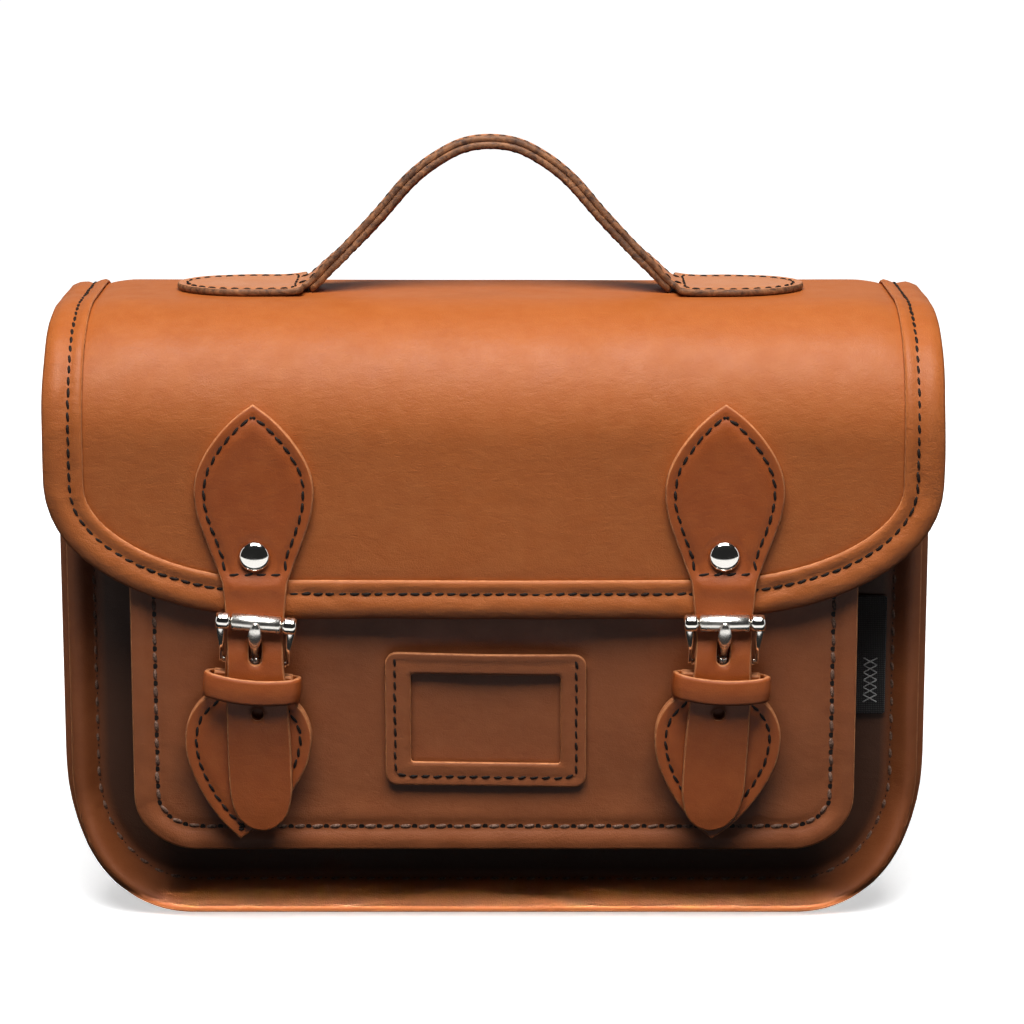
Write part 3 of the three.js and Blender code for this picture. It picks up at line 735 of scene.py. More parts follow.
# The front panel's leather carries painted shade inward of its seam.
panel_leather = leather(
    "tan_panel_leather", *BODY_TAN, grain=1.25, crease=1.6, roughness=(0.50, 0.64), coat=0.04,
    shade=(0.060, 0.026, 0.013),
)
strap_leather = leather("brown_strap_leather", *STRAP_TAN, grain=1.1, roughness=(0.46, 0.60), coat=0.06)
pale_edge = cut_edge("pale_cut_edge", (0.66, 0.28, 0.11), (0.38, 0.13, 0.045))
handle_edge = cut_edge("handle_cut_edge", (0.36, 0.155, 0.06), (0.055, 0.020, 0.008))
dark_thread = thread("dark_thread", (0.007, 0.004, 0.003), (0.028, 0.014, 0.009))
brown_thread = thread("brown_thread", (0.09, 0.045, 0.028), (0.30, 0.18, 0.13))
pale_thread = thread("pale_thread", (0.35, 0.35, 0.35), (0.6, 0.6, 0.6))
# Near-black colour for the needle holes: painted shade inside the holes, made with the thread shader.
hole_shade = thread("needle_holes", (0.006, 0.004, 0.003), (0.015, 0.009, 0.006))
nickel = nickel_plate("polished_nickel", 0.06, 0.14)
satin_nickel = nickel_plate("satin_nickel", 0.2, 0.34)
ribbon = black_ribbon()

# ---- the flap and back, one sheet of leather ----------------------------------------------------

FRONT_CENTRE = (FLAP_FRONT + FRONT_RADIUS, FLAP_TOP - FRONT_RADIUS)
BACK_CENTRE = (FLAP_BACK - BACK_RADIUS, FLAP_TOP - BACK_RADIUS)
HANGING = FRONT_CENTRE[1] - FLAP_BOTTOM
FRONT_BEND = HANGING + FRONT_RADIUS * math.pi / 2
FLAT_TOP = BACK_CENTRE[0] - FRONT_CENTRE[0]
TOP_END = FRONT_BEND + FLAT_TOP
BACK_BEND = TOP_END + BACK_RADIUS * math.pi / 2
SHEET_END = BACK_BEND + BACK_CENTRE[1]
BINDING_END = BACK_BEND - 2.0
FLAP_DROOP = 2.4
EDGE_DROOP = 3.4
FLAP_INSET = 2.6
BINDING_WIDTH = 13.4
BINDING_ROW = 9.0
BINDING_SKIN = 1.5
RIVET_Z = (span("rivet_cap_right")[0][2] + span("rivet_cap_right")[1][2]) / 2
STRAP_HINGE_Z = joint_point("strap_right_swing")[2]
HINGE_BLEND = ((0, HINGE[1] - 0.5, HINGE[2]), (0, HINGE[1] - 18.0, HINGE[2]))


def flap_swell(u, t):
    """How far the flap stands out from its plain profile at (u, t)."""
    hanging = smoothstep(FRONT_BEND, HANGING * 0.7, t)
    behind = smoothstep(BACK_BEND - 10, BACK_BEND + 30, t)
    low_edge = smoothstep(45, 0, t) * (bump_at(0, 42, u) + 0.8 * bump_at(128, 22, np.abs(u)))
    on_top = smoothstep(HANGING + 30, FRONT_BEND, t) * smoothstep(BACK_BEND, TOP_END + 6, t)
    shoulders = smoothstep(HANGING + 12, FRONT_BEND - 12, t) * smoothstep(BACK_BEND + 4, TOP_END + 6, t)
    sag = on_top * (FLAP_DROOP + 0.5 * wander(u, t, 70, 4.4))
    sag = sag + shoulders * EDGE_DROOP * smoothstep(126, 150, np.abs(u))
    swell = hanging * (0.75 * wander(u, t, 85, 3.1) + 0.9 * low_edge)
    return swell - sag + 0.3 * behind * wander(u, t, 60, 8.0)


def flap_surface(u, t, w):
    """Space point of a flat point on the flap. t runs from the front edge over the top and down the
    back, and w is the height above the outer face."""
    t = np.asarray(t, float)
    front = np.clip((t - HANGING) / FRONT_RADIUS, 0, math.pi / 2)
    back = np.clip((t - TOP_END) / BACK_RADIUS, 0, math.pi / 2)
    along_top = np.clip(t - FRONT_BEND, 0, FLAT_TOP)
    y = FLAP_FRONT + FRONT_RADIUS * (1 - np.cos(front)) + along_top + BACK_RADIUS * np.sin(back)
    z = FLAP_BOTTOM + np.minimum(t, HANGING) + FRONT_RADIUS * np.sin(front)
    z = z - BACK_RADIUS * (1 - np.cos(back)) - np.maximum(t - BACK_BEND, 0)
    out = w + flap_swell(u, t)
    angle = front + back
    return np.stack([np.asarray(u, float) + 0 * y, y - np.cos(angle) * out, z + np.sin(angle) * out], axis=-1)


def flap_outline(inset, end, corner_back=None):
    """The flap's flat outline, anticlockwise, from its front corners to a line at `end`."""
    side = FLAP_HALF_WIDTH - inset
    wide, high = FLAP_CORNER[0] - inset, FLAP_CORNER[1] - inset
    low = quarter((side - wide, inset + high), (wide, high), -math.pi / 2, 0)
    top = [[side, end]]
    if corner_back:
        wide, high = corner_back
        top = quarter((side - wide, end - high), (wide, high), 0, math.pi / 2)
    right = np.vstack([low, top])
    return np.vstack([right, right[::-1] * [-1, 1]])


def flap_leather_sheet():
    outline = flap_outline(FLAP_INSET, SHEET_END, BODY_CORNER)

    def place(u, t, w):
        return flap_surface(u, t, w - LEATHER)

    def relief(u, t, d):
        behind = smoothstep(BACK_BEND - 5, BACK_BEND + 5, t)
        seam = -0.45 * bump_at(SEAM, 1.5, d) + 0.35 * bump_at(SEAM * 0.45, 3.5, d)
        tucked = -0.5 * smoothstep(12.5, 9, d) * (1 - behind)
        return behind * seam + tucked

    sheet = cut_sheet("flap_and_back_leather", outline, LEATHER, place, [flap_leather, pale_edge],
                      spacing=3.6, relief=relief)
    bend_piece(sheet, ("bag", "flap"), *HINGE_BLEND, "flap_leather", "flap", "back_panel")


def flap_edge_line(inset):
    """The flap's U-shaped edge in flat coordinates, from the left end over the front to the right."""
    outline = flap_outline(inset, BINDING_END)
    half = len(outline) // 2
    return np.vstack([outline[half:], outline[:half]])


def flap_binding():
    """A strip folded over the flap's edge: puffed outside, pressed flat along its stitches."""
    line = resample(flap_edge_line(0.0), 2.2)
    turn = np.linspace(0, math.pi, 9)[1:-1]
    over = np.array([BINDING_WIDTH, 12.6, 11.2, 10.0, BINDING_ROW, 8.0, 6.6, 5.0, 3.4])
    middle, half = -LEATHER / 2, LEATHER / 2 + BINDING_SKIN
    depth = np.concatenate([over, 1.9 - 1.9 * np.sin(turn), over[::-1]])
    height = np.concatenate([np.full(9, half), half * np.cos(turn), np.full(9, -half)])
    bulge = 0.75 * bump_at(4.6, 2.6, depth) - 0.55 * bump_at(BINDING_ROW, 1.1, depth)
    bulge = bulge + 0.15 * bump_at(12, 1.3, depth) - 0.35 * smoothstep(12.9, BINDING_WIDTH, depth)
    sign = np.where(height >= 0, 1.0, -1.0)
    puff, wrinkled = np.where(sign > 0, 1.0, 0.35), np.where(sign > 0, 1, 0.4)
    shape = np.clip(smoothstep(1.0, 4.0, depth) * smoothstep(BINDING_WIDTH, 9.5, depth), 0, 1)
    outer, inner = [], []
    for p, n, s in zip(line, left_of(line), run_along(line)):
        at = np.full(len(depth), s)
        creased = wander(at, depth * 2.5, 7.5, 2.0) * 0.42 + wander(at, depth, 26, 5.0) * 0.38
        out = height + sign * (bulge * puff + creased * shape * wrinkled)
        d = depth + 0.35 * wander(at, 0 * depth, 18, 7.0) * smoothstep(6, 0, depth)
        outer.append(flap_surface(p[0] + n[0] * d, p[1] + n[1] * d, middle + out))
        d = np.maximum(d, 1.4)
        slot = np.clip(height, -LEATHER / 2 - 0.12, LEATHER / 2 + 0.12)
        inner.append(flap_surface(p[0] + n[0] * d, p[1] + n[1] * d, middle + slot))
    outer, inner = np.array(outer), np.array(inner)
    distance = np.broadcast_to(np.minimum(BINDING_WIDTH - depth, FAR), outer.shape[:2]) + 0.2
    binding = strip_solid("flap_binding_leather", outer, inner, [binding_leather, pale_edge], distance)
    bend_piece(binding, ("bag", "flap"), *HINGE_BLEND, "flap_leather", "flap_binding")
    for label, face in (("outer", 1.0), ("inner", -1.0)):
        row = resample(flap_edge_line(BINDING_ROW), 1.0)
        level = middle + face * (half - 0.1)
        low = flap_surface(row[:, 0], row[:, 1], np.full(len(row), level))
        up = unit(flap_surface(row[:, 0], row[:, 1], np.full(len(row), level + face)) - low)
        name = f"flap_binding_stitches_{label}"
        stitches = sew(name, low - up * 0.35, up, 4.05, dark_thread, radius=0.48, fill=0.9)
        bend_piece(stitches, ("bag", "flap"), *HINGE_BLEND, "black_weave")


def hand_seam(name, low, up, pitch, radius, fill, hole, lift):
    """A coarse row of stitches in the bag's seams, with the needle holes between them."""
    stitches = sew(f"{name}_stitches", low, up, pitch, brown_thread, radius, fill)
    finish_piece(stitches, "bag", "black_weave")
    holes = pricks(f"{name}_needle_holes", low + up * lift, up, pitch, hole_shade, hole)
    finish_piece(holes, "bag", "black_weave")


def back_seam():
    """The row that sews the back panel to the gusset."""
    top = SHEET_END - BACK_BEND - 4
    line, inward = panel_edge(FLAP_HALF_WIDTH - FLAP_INSET, 0, top, BODY_CORNER)
    row = line + inward * SEAM
    t = SHEET_END - row[:, 1]
    low = flap_surface(row[:, 0], t, np.full(len(row), -0.35))
    up = unit(flap_surface(row[:, 0], t, np.full(len(row), 1.0)) - low)
    hand_seam("back_panel", low, up, pitch=6.1, radius=0.55, fill=0.68, hole=0.62, lift=0.25)


# ---- the main compartment -----------------------------------------------------------------------

PANEL_INSET = 1.2
PANEL_RINGS = (1.0, 2.0, 3.2, 4.6, 6.2, 8, 10, 12)
POCKET_SEAM = 8.0
GUSSET = 2.2
GUSSET_TOP = 202.0
BODY_OUTLINE = panel_outline(HALF_WIDTH, 0.0, panel_high[2], BODY_CORNER, PANEL_INSET)
POCKET_HALF_WIDTH = pocket_high[0]
label_low, label_high = span("id_window_frame")
LABEL_X = (label_low[0] + label_high[0]) / 2
POCKET_OUTLINE = panel_outline(POCKET_HALF_WIDTH, pocket_low[2], pocket_high[2], POCKET_CORNER)


def rim_curl(d):
    """The seam allowance outside a row of stitches rises into a soft lip, which rounds over at its edge."""
    return 4.4 * smoothstep(10.5, 3.0, d) - 1.2 * smoothstep(2.4, 0, d)


def foot_flare(height, d):
    """The lip leans further forward along the bottom, where the bag stands on it."""
    return 6.5 * smoothstep(10.0, 1.5, d) * smoothstep(44, 10, height)


def front_surface(u, v, w):
    """The front panel: gently uneven, with a lip that curls forward outside its seam."""
    d = edge_distance(np.stack([u, v], axis=1), BODY_OUTLINE)
    d = np.where(v > 190, FAR, d)
    sway = 0.5 * wander(u, v, 60, 1.3) + 0.35 * wander(u, v, 16, 4.0) * smoothstep(14, 4, d)
    forward = rim_curl(d) + foot_flare(v, d) + sway * smoothstep(0, 6, d)
    return np.stack([u, panel_high[1] - w - forward, v], axis=-1)


def seam_relief(row, depth=0.5, puff=0.3):
    """Leather pressed down along a row of stitches and puffed up on both sides of it."""
    def relief(u, v, d):
        pressed = -depth * bump_at(row, 1.3, d)
        return pressed + puff * bump_at(row * 0.5, 2.5, d) + 0.35 * bump_at(row + 4.5, 3.0, d)
    return relief


def front_panel():
    sheet = cut_sheet("front_panel_leather", BODY_OUTLINE, LEATHER, front_surface, [panel_leather, pale_edge],
                      spacing=4.5, relief=seam_relief(SEAM), rings=PANEL_RINGS)
    finish_piece(sheet, "bag", "body_leather", "front_panel")
    line, inward = panel_edge(HALF_WIDTH, 0, panel_high[2] - 8, BODY_CORNER)
    low, up = lines_up(front_surface, line + inward * SEAM, LEATHER - 0.45)
    hand_seam("front_panel", low, up, pitch=6.2, radius=0.68, fill=0.7, hole=0.62, lift=0.15)


def flange(start, front):
    """The first stretch of a gusset's section: its seam flange and the turn away from it."""
    return [(start, front), (4, front), (7.4, front + 0.1), (10.2, front + 1.6), (11.1, front + 5)]


def section_grid(line, inward, path, thickness, shape):
    """Two grids for a strip that follows a panel's edge. `path` is its section as (inset, y), and
    shape(station, inset, y) moves a point of it by (inset, y)."""
    path = resample(smooth_line(path, 6), 2.4)
    across = left_of(path) * thickness / 2
    outer, inner = [], []
    for p, n in zip(line, inward):
        moved = path + shape(p, path[:, 0], path[:, 1])
        for grid, q in ((outer, moved - across), (inner, moved + across)):
            x, z = p[0] + n[0] * q[:, 0], p[1] + n[1] * q[:, 0]
            grid.append(np.stack([x, q[:, 1], z], axis=1))
    return np.array(outer), np.array(inner)


def main_gusset():
    """The U-shaped wall between the two panels. Its sides sink in between the seams."""
    low, high = span("main_gusset")
    front, back = low[1] + GUSSET / 2, high[1] - GUSSET / 2
    line, inward = panel_edge(HALF_WIDTH, 0, GUSSET_TOP, BODY_CORNER, 3.2)
    path = flange(0.0, front) + [(11.1, y) for y in np.linspace(front + 12, back - 12, 6)]
    path += [(11.1, back - 5), (10.2, back - 1.6), (7.4, back - 0.1), (4, back), (0.4, back)]

    def shape(p, inset, y):
        across = np.clip((y - front) / (back - front), 0, 1)
        side = smoothstep(10, 60, p[1]) * smoothstep(150, 105, p[1])
        sink = 4.5 * side * np.sin(np.pi * across) ** 1.3
        crease = wander(p[1] + p[0], y, 24, 6.0) * 0.9 * np.sin(np.pi * across)
        at_floor = smoothstep(25, 8, p[1])
        proud = -0.9 * smoothstep(25, 60, p[1]) * smoothstep(9, 3, inset) * smoothstep(0.35, 0.0, across)
        height = p[1] + inset * smoothstep(50, 0, p[1])
        forward = rim_curl(inset + 0.6) + foot_flare(height, inset + 0.6)
        curl = (0.3 - forward) * smoothstep(0.35, 0.0, across)
        behind = 1.5 * smoothstep(8.5, 0.5, inset) ** 1.5 * 0.7 * smoothstep(0.65, 1.0, across)
        return np.stack([sink + crease * (1 - at_floor) + proud, curl + behind], axis=1)

    outer, inner = section_grid(line, inward, path, GUSSET, shape)
    for grid in (outer, inner):
        slope = np.clip((grid[..., 1] - front) / (back - front), 0, 1) * 12.0
        grid[..., 2] -= smoothstep(100, GUSSET_TOP, grid[..., 2]) * slope
    gusset = strip_solid("main_gusset_leather", outer, inner, [body_leather, pale_edge])
    finish_piece(gusset, "bag", "body_leather", "main_gusset")


def pocket_surface(u, v, w):
    """The pocket's face: soft, drawn in slightly between its fittings and rippled at its corners."""
    d = edge_distance(np.stack([u, v], axis=1), POCKET_OUTLINE)
    d = np.where(v > 150, FAR, d)
    inside = smoothstep(6, 22, d)
    sink = inside * (0.55 + 0.5 * wander(u, v, 48, 2.2)) * 1.2
    sink *= 1 - 0.9 * sum(bump_at(x, 20, u) for x in STRAP_AT.values())
    sink += 1.6 * bump_at(label_high[2] - 1, 4.0, v) * smoothstep(40, 26, np.abs(u - LABEL_X))
    corner = bump_at(0, 26, np.abs(u) - POCKET_HALF_WIDTH + 12) * bump_at(pocket_low[2] + 10, 22, v)
    pulls = (u * np.sign(u) - (v - pocket_low[2])) * 0.7
    ripple = 0.5 * wander(pulls, (np.abs(u) + v) * 0.22, 5.5, 3.0 + np.sign(u.mean())) * corner
    fine = 0.2 * wander(u, v, 9, 9.0) * smoothstep(30, 8, d)
    curl = 0.9 * smoothstep(7.0, 0.5, d)
    return np.stack([u, pocket_high[1] - w + sink - curl + ripple + fine, v], axis=-1)


def pocket():
    sheet = cut_sheet("pocket_leather", POCKET_OUTLINE, LEATHER, pocket_surface, [body_leather, pale_edge],
                      spacing=4.0, relief=seam_relief(POCKET_SEAM, 0.6, 0.75), rings=PANEL_RINGS)
    finish_piece(sheet, "bag", "body_leather", "pocket_panel")
    line, inward = panel_edge(POCKET_HALF_WIDTH, pocket_low[2], pocket_high[2] - 6, POCKET_CORNER, 2.0)
    low, up = lines_up(pocket_surface, line + inward * POCKET_SEAM, LEATHER - 0.45)
    hand_seam("pocket", low, up, pitch=6.0, radius=0.68, fill=0.72, hole=0.95, lift=0.15)
    low, high = span("pocket_gusset")
    front, back = low[1] + GUSSET / 2, high[1] - GUSSET / 2
    path = flange(0.4, front) + [(11.3, (front + back) / 2), (11.1, back - 5)]
    path += [(12.2, back - 1.4), (14.6, back), (18.0, back)]

    def shape(p, inset, y):
        across = np.clip((y - front) / (back - front), 0, 1)
        sink = 1.8 * np.sin(np.pi * across) * smoothstep(35, 70, p[1])
        sink = sink + 0.4 * wander(p[1] + p[0], y, 14, 3.0) * np.sin(np.pi * across)
        curl = -0.9 * smoothstep(7.0, 0.5, inset) * smoothstep(0.4, 0.0, across)
        return np.stack([sink, curl], axis=1)

    outer, inner = section_grid(line, inward, path, GUSSET, shape)
    gusset = strip_solid("pocket_gusset_leather", outer, inner, [body_leather, pale_edge])
    finish_piece(gusset, "bag", "body_leather", "pocket_gusset")


def rounded_box(low, high, radius, steps=6):
    """A flat rectangle with rounded corners, anticlockwise."""
    corners = [
        ((high[0] - radius, high[1] - radius), 0.0), ((low[0] + radius, high[1] - radius), 0.5),
        ((low[0] + radius, low[1] + radius), 1.0), ((high[0] - radius, low[1] + radius), 1.5),
    ]
    bends = [quarter(c, (radius, radius), a * math.pi, (a + 0.5) * math.pi, steps) for c, a in corners]
    return np.vstack(bends)


def label_window():
    """A frame for a name card, sewn on three sides. Its free top edge stands off the pocket."""
    low, high = label_low + [0, 0, -1.5], label_high + [0, 0, -1.4]
    outline = rounded_box((low[0], low[2]), (high[0], high[2]), 4.0)
    opening = rounded_box((low[0] + 8.7, low[2] + 8.3), (high[0] - 8.7, high[2] - 7.4), 1.0)
    thick, inset, turn = high[1] - low[1], 3.3, 2.0

    def place(u, v, w):
        slant = 0.014 * (u - LABEL_X)
        bow = 1.9 * smoothstep(high[2] - 16, high[2], v) * bump_at(0, 26, u - LABEL_X)
        lift = np.maximum(0.3 * wander(u, v, 14, 5.5), 0)
        return np.stack([u - 1.4, high[1] - w - bow - lift, v - slant], axis=-1)

    def relief(u, v, d):
        return -0.3 * bump_at(inset, 0.9, d) + 0.12 * bump_at(5.5, 1.2, d)

    window = cut_sheet("label_window_frame", outline, thick, place, [body_leather, pale_edge], [opening],
                       spacing=2.6, rings=(0.9, 1.8, 2.6, 3.3, 4.2), bevel=0.4, relief=relief,
                       edge_step=1.2)
    finish_piece(window, "bag", "body_leather", "id_window_frame")
    left, right, bottom, top = low[0] + inset, high[0] - inset, low[2] + inset, high[2] - 1.5
    corners = [
        quarter((left + turn, bottom + turn), (turn, turn), math.pi, 1.5 * math.pi, 5),
        quarter((right - turn, bottom + turn), (turn, turn), 1.5 * math.pi, 2 * math.pi, 5),
    ]
    row = np.vstack([[left, top], *corners, [right, top]])
    line, up = lines_up(place, resample(row, 1.0), thick - 0.2)
    stitches = sew("label_window_stitches", line, up, 4.1, dark_thread, radius=0.42, fill=0.8)
    finish_piece(stitches, "bag", "black_weave")


def woven_label():
    """A tape label between the pocket and the seam, with two pale zigzags that make a chain of diamonds."""
    low, high = span("woven_label")
    outline = rounded_box((low[0], low[2]), (high[0], high[2]), 0.6, 3)

    def place(u, v, w):
        return np.stack([u, high[1] - w - 0.5 - 0.25 * np.sin(v / 7.0) ** 2, v], axis=-1)

    label = cut_sheet("woven_side_label", outline, 0.8, place, [ribbon, ribbon], rings=(0.7,), spacing=1.6,
                      bevel=0.25, edge_step=1.2)
    finish_piece(label, "bag", "black_weave", "woven_label")
    middle, reach, step = (low[0] + high[0]) / 2, 2.4, 2.6
    heights = np.arange(high[2] - 22, low[2] + 3, -step)
    for name, start in (("first", 1.0), ("second", -1.0)):
        swing = middle + start * reach * np.where(np.arange(len(heights)) % 2, 1.0, -1.0)
        line, _ = lines_up(place, np.stack([swing, heights], axis=1), 0.85)
        zigzag = tube(f"woven_side_label_{name}_zigzag", resample(line, 0.6), 0.24, pale_thread, sides=6)
        finish_piece(zigzag, "bag", "black_weave")


# ---- straps, one piece of leather each from head to tail -----------------------------------------

STRAP_HEAD_HALF = [
    (0, 183.4), (4.8, 180.1), (9.4, 176.0), (13.8, 170.8), (17.0, 165.6), (19.2, 160), (19.9, 154),
    (19.1, 147), (16.8, 139.6), (13.6, 131),
]
STRAP_TAIL_HALF = [
    (10.9, 124), (10.1, 116), (9.4, 108), (9.4, 96), (10, 88), (10.6, 72), (10.6, 55), (10.1, 49),
    (8.4, 43.4), (5.2, 39.8), (2.2, 38.4), (0, 38.0),
]
TAIL_CENTRE = [
    (-52.3, 130), (-52.3, 117), (-52.5, 109.6), (-54.5, 104), (-56.1, 98.4), (-56.2, 92), (-55.9, 84),
    (-54.4, 72), (-53.6, 60), (-53.5, 36),
]
TAIL_CURVE = smooth_line(TAIL_CENTRE, 10)
STRAP_BLEND = 3.5
LEAN_PIVOT = 104.0
TAIL_HOLE_Z = 79.6
TAIL_LEAN = {"left": -0.022, "right": 0.058}
TAB_LEAN = {"left": 0.0, "right": 0.045}


def buckle_lean(side):
    """The angle that the strap's buckle is turned by, seen from the front."""
    axis = joint_axis(f"buckle_{side}_tilt")
    return math.atan2(-axis[2], axis[0])


def hang(piece, side, extra=0.0):
    """Puts a piece that was made about x = 0 on its strap, with the lean of the strap's buckle."""
    pivot = Vector((0, 0, LEAN_PIVOT * MM))
    turn = Matrix.Rotation(buckle_lean(side) + extra, 4, "Y")
    there = Matrix.Translation(Vector((STRAP_AT[side] * MM, 0, 0)) + pivot)
    piece.data.transform(there @ turn @ Matrix.Translation(-pivot))
    return piece


def fitted(node):
    """The box of a strap's CAD node, about x = 0. The right strap's buckle hangs straight."""
    low, high = span(f"{node}_right")
    middle = np.array([STRAP_AT["right"], 0, 0])
    return low - middle, high - middle


HEEL = joint_point("buckle_right_tilt")[1:]
PIN = joint_point("roller_right_spin")[1:]


def strap_surface(side):
    """Places a strap's flat points: on the flap above its hinge, along the hanging tail below it. The
    flat height is the real height of the hanging part."""
    x = STRAP_AT[side]

    def place(u, v, w):
        on_flap = flap_surface(u + x, v - FLAP_BOTTOM, w + 0.25)
        y = np.interp(-v, -TAIL_CURVE[:, 1], TAIL_CURVE[:, 0])
        above = np.interp(-v - 0.5, -TAIL_CURVE[:, 1], TAIL_CURVE[:, 0])
        below = np.interp(-v + 0.5, -TAIL_CURVE[:, 1], TAIL_CURVE[:, 0])
        slope = below - above
        out = w - LEATHER / 2
        size = np.sqrt(1 + slope**2)
        lean = TAIL_LEAN[side] * np.minimum(v - LEAN_PIVOT, 0)
        hanging = np.stack([u + x + lean, y - out / size, v - slope * out / size], axis=-1)
        share = smoothstep(131, 120, v)[:, None]
        return on_flap * (1 - share) + hanging * share
    return place


def upper_part(row, level):
    """The part of a closed row that lies above a level, as one line from end to end."""
    start = np.argmin(row[:, 1])
    row = np.roll(row, -start, axis=0)
    return row[row[:, 1] > level]


def strap(side):
    """A strap from its sewn head to its free tail, with its slot, holes and stitches."""
    place = strap_surface(side)
    half = np.vstack([smooth_line(STRAP_HEAD_HALF, 6), smooth_line(STRAP_TAIL_HALF, 6)])
    slot = rounded_box((-2.2, 96.6), (2.2, 105.6), 2.1)
    hole = quarter((0, TAIL_HOLE_Z), (2.0, 2.0), 0, 2 * math.pi, 24)[:-1]
    rivet_hole = quarter((0, RIVET_Z), (1.7, 1.7), 0, 2 * math.pi, 16)[:-1]
    closing_row, row_inset = 126.6, 3.3

    def relief(u, v, d):
        head = smoothstep(124, 130, v)
        row = (-0.42 * bump_at(row_inset, 0.85, d) + 0.2 * bump_at(6.0, 1.5, d)) * head
        closing = -0.4 * bump_at(closing_row, 0.9, v) * smoothstep(2, 4, d)
        fold = 0.5 * bump_at(closing_row - 4, 1.9, v) * smoothstep(1, 4, d)
        crown = 0.35 * smoothstep(0, 7, d) * (1 - head)
        pressed = -0.5 * bump_at(0, 6.5, np.hypot(u, v - RIVET_Z))
        punched = -0.4 * bump_at(0, 3.2, np.hypot(u, v - TAIL_HOLE_Z))
        worn = 0.12 * wander(u + STRAP_AT[side], v, 7, 4.0) * smoothstep(0, 3, d)
        return row + closing + fold + crown + pressed + punched + worn

    piece = cut_sheet(f"strap_{side}_leather", mirrored(half), LEATHER, place, [strap_leather, pale_edge],
                      [rivet_hole, slot, hole], spacing=2.1, rings=(0.9, 1.7, 2.5, 3.3, 4.2), bevel=0.5,
                      relief=relief, edge_step=1.2)
    start, end = (0, 0, STRAP_HINGE_Z + STRAP_BLEND), (0, 0, STRAP_HINGE_Z - STRAP_BLEND)
    bodies = ("flap", f"strap_{side}")
    bend_piece(piece, bodies, start, end, "strap_leather", f"strap_head_{side}", f"strap_tail_{side}")
    head = np.vstack([resample(smooth_line(STRAP_HEAD_HALF, 8), 0.8), [[13.2, 120.0]]])
    perimeter = offset_polygon(resample(mirrored(head), 0.8, closed=True), row_inset)
    closing = np.stack([np.linspace(-9.0, 9.0, 20), np.full(20, closing_row)], axis=1)
    for label, row in (("perimeter", upper_part(perimeter, closing_row)), ("closing", closing)):
        name = f"strap_{side}_{label}_stitches"
        line, up = lines_up(place, row, LEATHER - 0.3)
        stitches = sew(name, line, up, STRAP_PITCH, dark_thread, radius=0.46, fill=0.9)
        bend_piece(stitches, bodies, start, end, "black_weave")


def rivet(name, centre, direction, radius, body, node):
    """A domed cap on a slightly tucked foot."""
    rise = radius / 2.6
    arc = np.linspace(0, math.pi / 2, 14)[:-1]
    profile = [(0, -0.6), (radius * 0.45, -0.6), (radius * 0.93, -0.25), (radius, 0.15)]
    profile += [(radius * 1.02, 0.55), *[(radius * math.cos(a), 0.9 + rise * math.sin(a)) for a in arc]]
    profile += [(0, 0.9 + rise)]
    finish_piece(lathe(name, profile, centre, direction, nickel), body, "nickel", node)


def strap_rivets(side):
    """The cap that shows on the strap's head, and the washer behind it inside the flap."""
    seat, up = lines_up(strap_surface(side), np.array([[0.0, RIVET_Z]]), LEATHER - 0.1)
    rivet(f"rivet_cap_{side}_dome", seat[0], up[0], 5.1, "flap", f"rivet_cap_{side}")
    low, _ = span(f"rivet_back_{side}")
    centre = np.array([STRAP_AT[side], low[1] + 0.1, RIVET_Z])
    radius, ring = 4.5, 1.89
    profile = [(0, 0), (radius, 0), (radius * 1.03, 0.35), (radius * 0.92, 0.75), (ring * 1.3, 0.8)]
    profile += [(ring, 0.45), (ring * 0.6, 0.55), (0, 0.9)]
    washer = lathe(f"rivet_back_{side}_washer", profile, centre, (0, 1, 0), nickel)
    finish_piece(washer, "flap", "nickel", f"rivet_back_{side}")


LOWER_TAB_HALF = [
    (13, 92.4), (13.8, 88), (14, 84.3), (18, 80.2), (20.7, 74.5), (21.2, 68), (19.6, 60), (14.6, 50),
    (7.6, 41), (0, 34.5),
]


def tab_layer(side, layer, thick, back, relief=None):
    """One teardrop layer of a lower tab. Gives its outline and the function that places its points."""
    def place(u, v, w):
        curl = 0.5 * smoothstep(50, 34, v) + 0.25 * wander(u + STRAP_AT[side], v, 22, 6.0)
        return np.stack([u, back - w - curl, v], axis=-1)

    outline = mirrored(np.vstack([LOWER_TAB_HALF[:2], smooth_line(LOWER_TAB_HALF[2:], 6)]))
    name = f"lower_tab_{layer}_{side}_leather"
    tab = cut_sheet(name, outline, thick, place, [strap_leather, pale_edge], spacing=2.4, bevel=0.5,
                    rings=(0.9, 1.9, 2.8, 3.7, 4.8), edge_step=1.3, relief=relief)
    hang(tab, side, TAB_LEAN[side])
    finish_piece(tab, f"strap_{side}", "strap_leather", f"tab_{layer}_{side}")
    return outline, place


def lower_tab(side):
    """Two teardrop layers sewn together. The front one wraps the buckle's heel bar."""
    thick, row_inset, row_top = 2.3, 3.7, 84.5

    def relief(u, v, d):
        return -0.42 * bump_at(row_inset, 0.85, d) + 0.22 * bump_at(6.4, 1.6, d)

    outline, place = tab_layer(side, "front", thick, fitted("tab_front")[0][1] + 4.3, relief)
    row = offset_polygon(resample(outline, 0.9, closed=True), row_inset)
    row = np.roll(row, -np.argmax(row[:, 1]), axis=0)
    line, up = lines_up(place, row[row[:, 1] < row_top], thick - 0.3)
    stitches = sew(f"lower_tab_{side}_stitches", line, up, STRAP_PITCH, dark_thread, radius=0.46, fill=0.9)
    finish_piece(hang(stitches, side, TAB_LEAN[side]), f"strap_{side}", "black_weave")
    tab_layer(side, "back", 2.1, fitted("tab_back")[1][1])


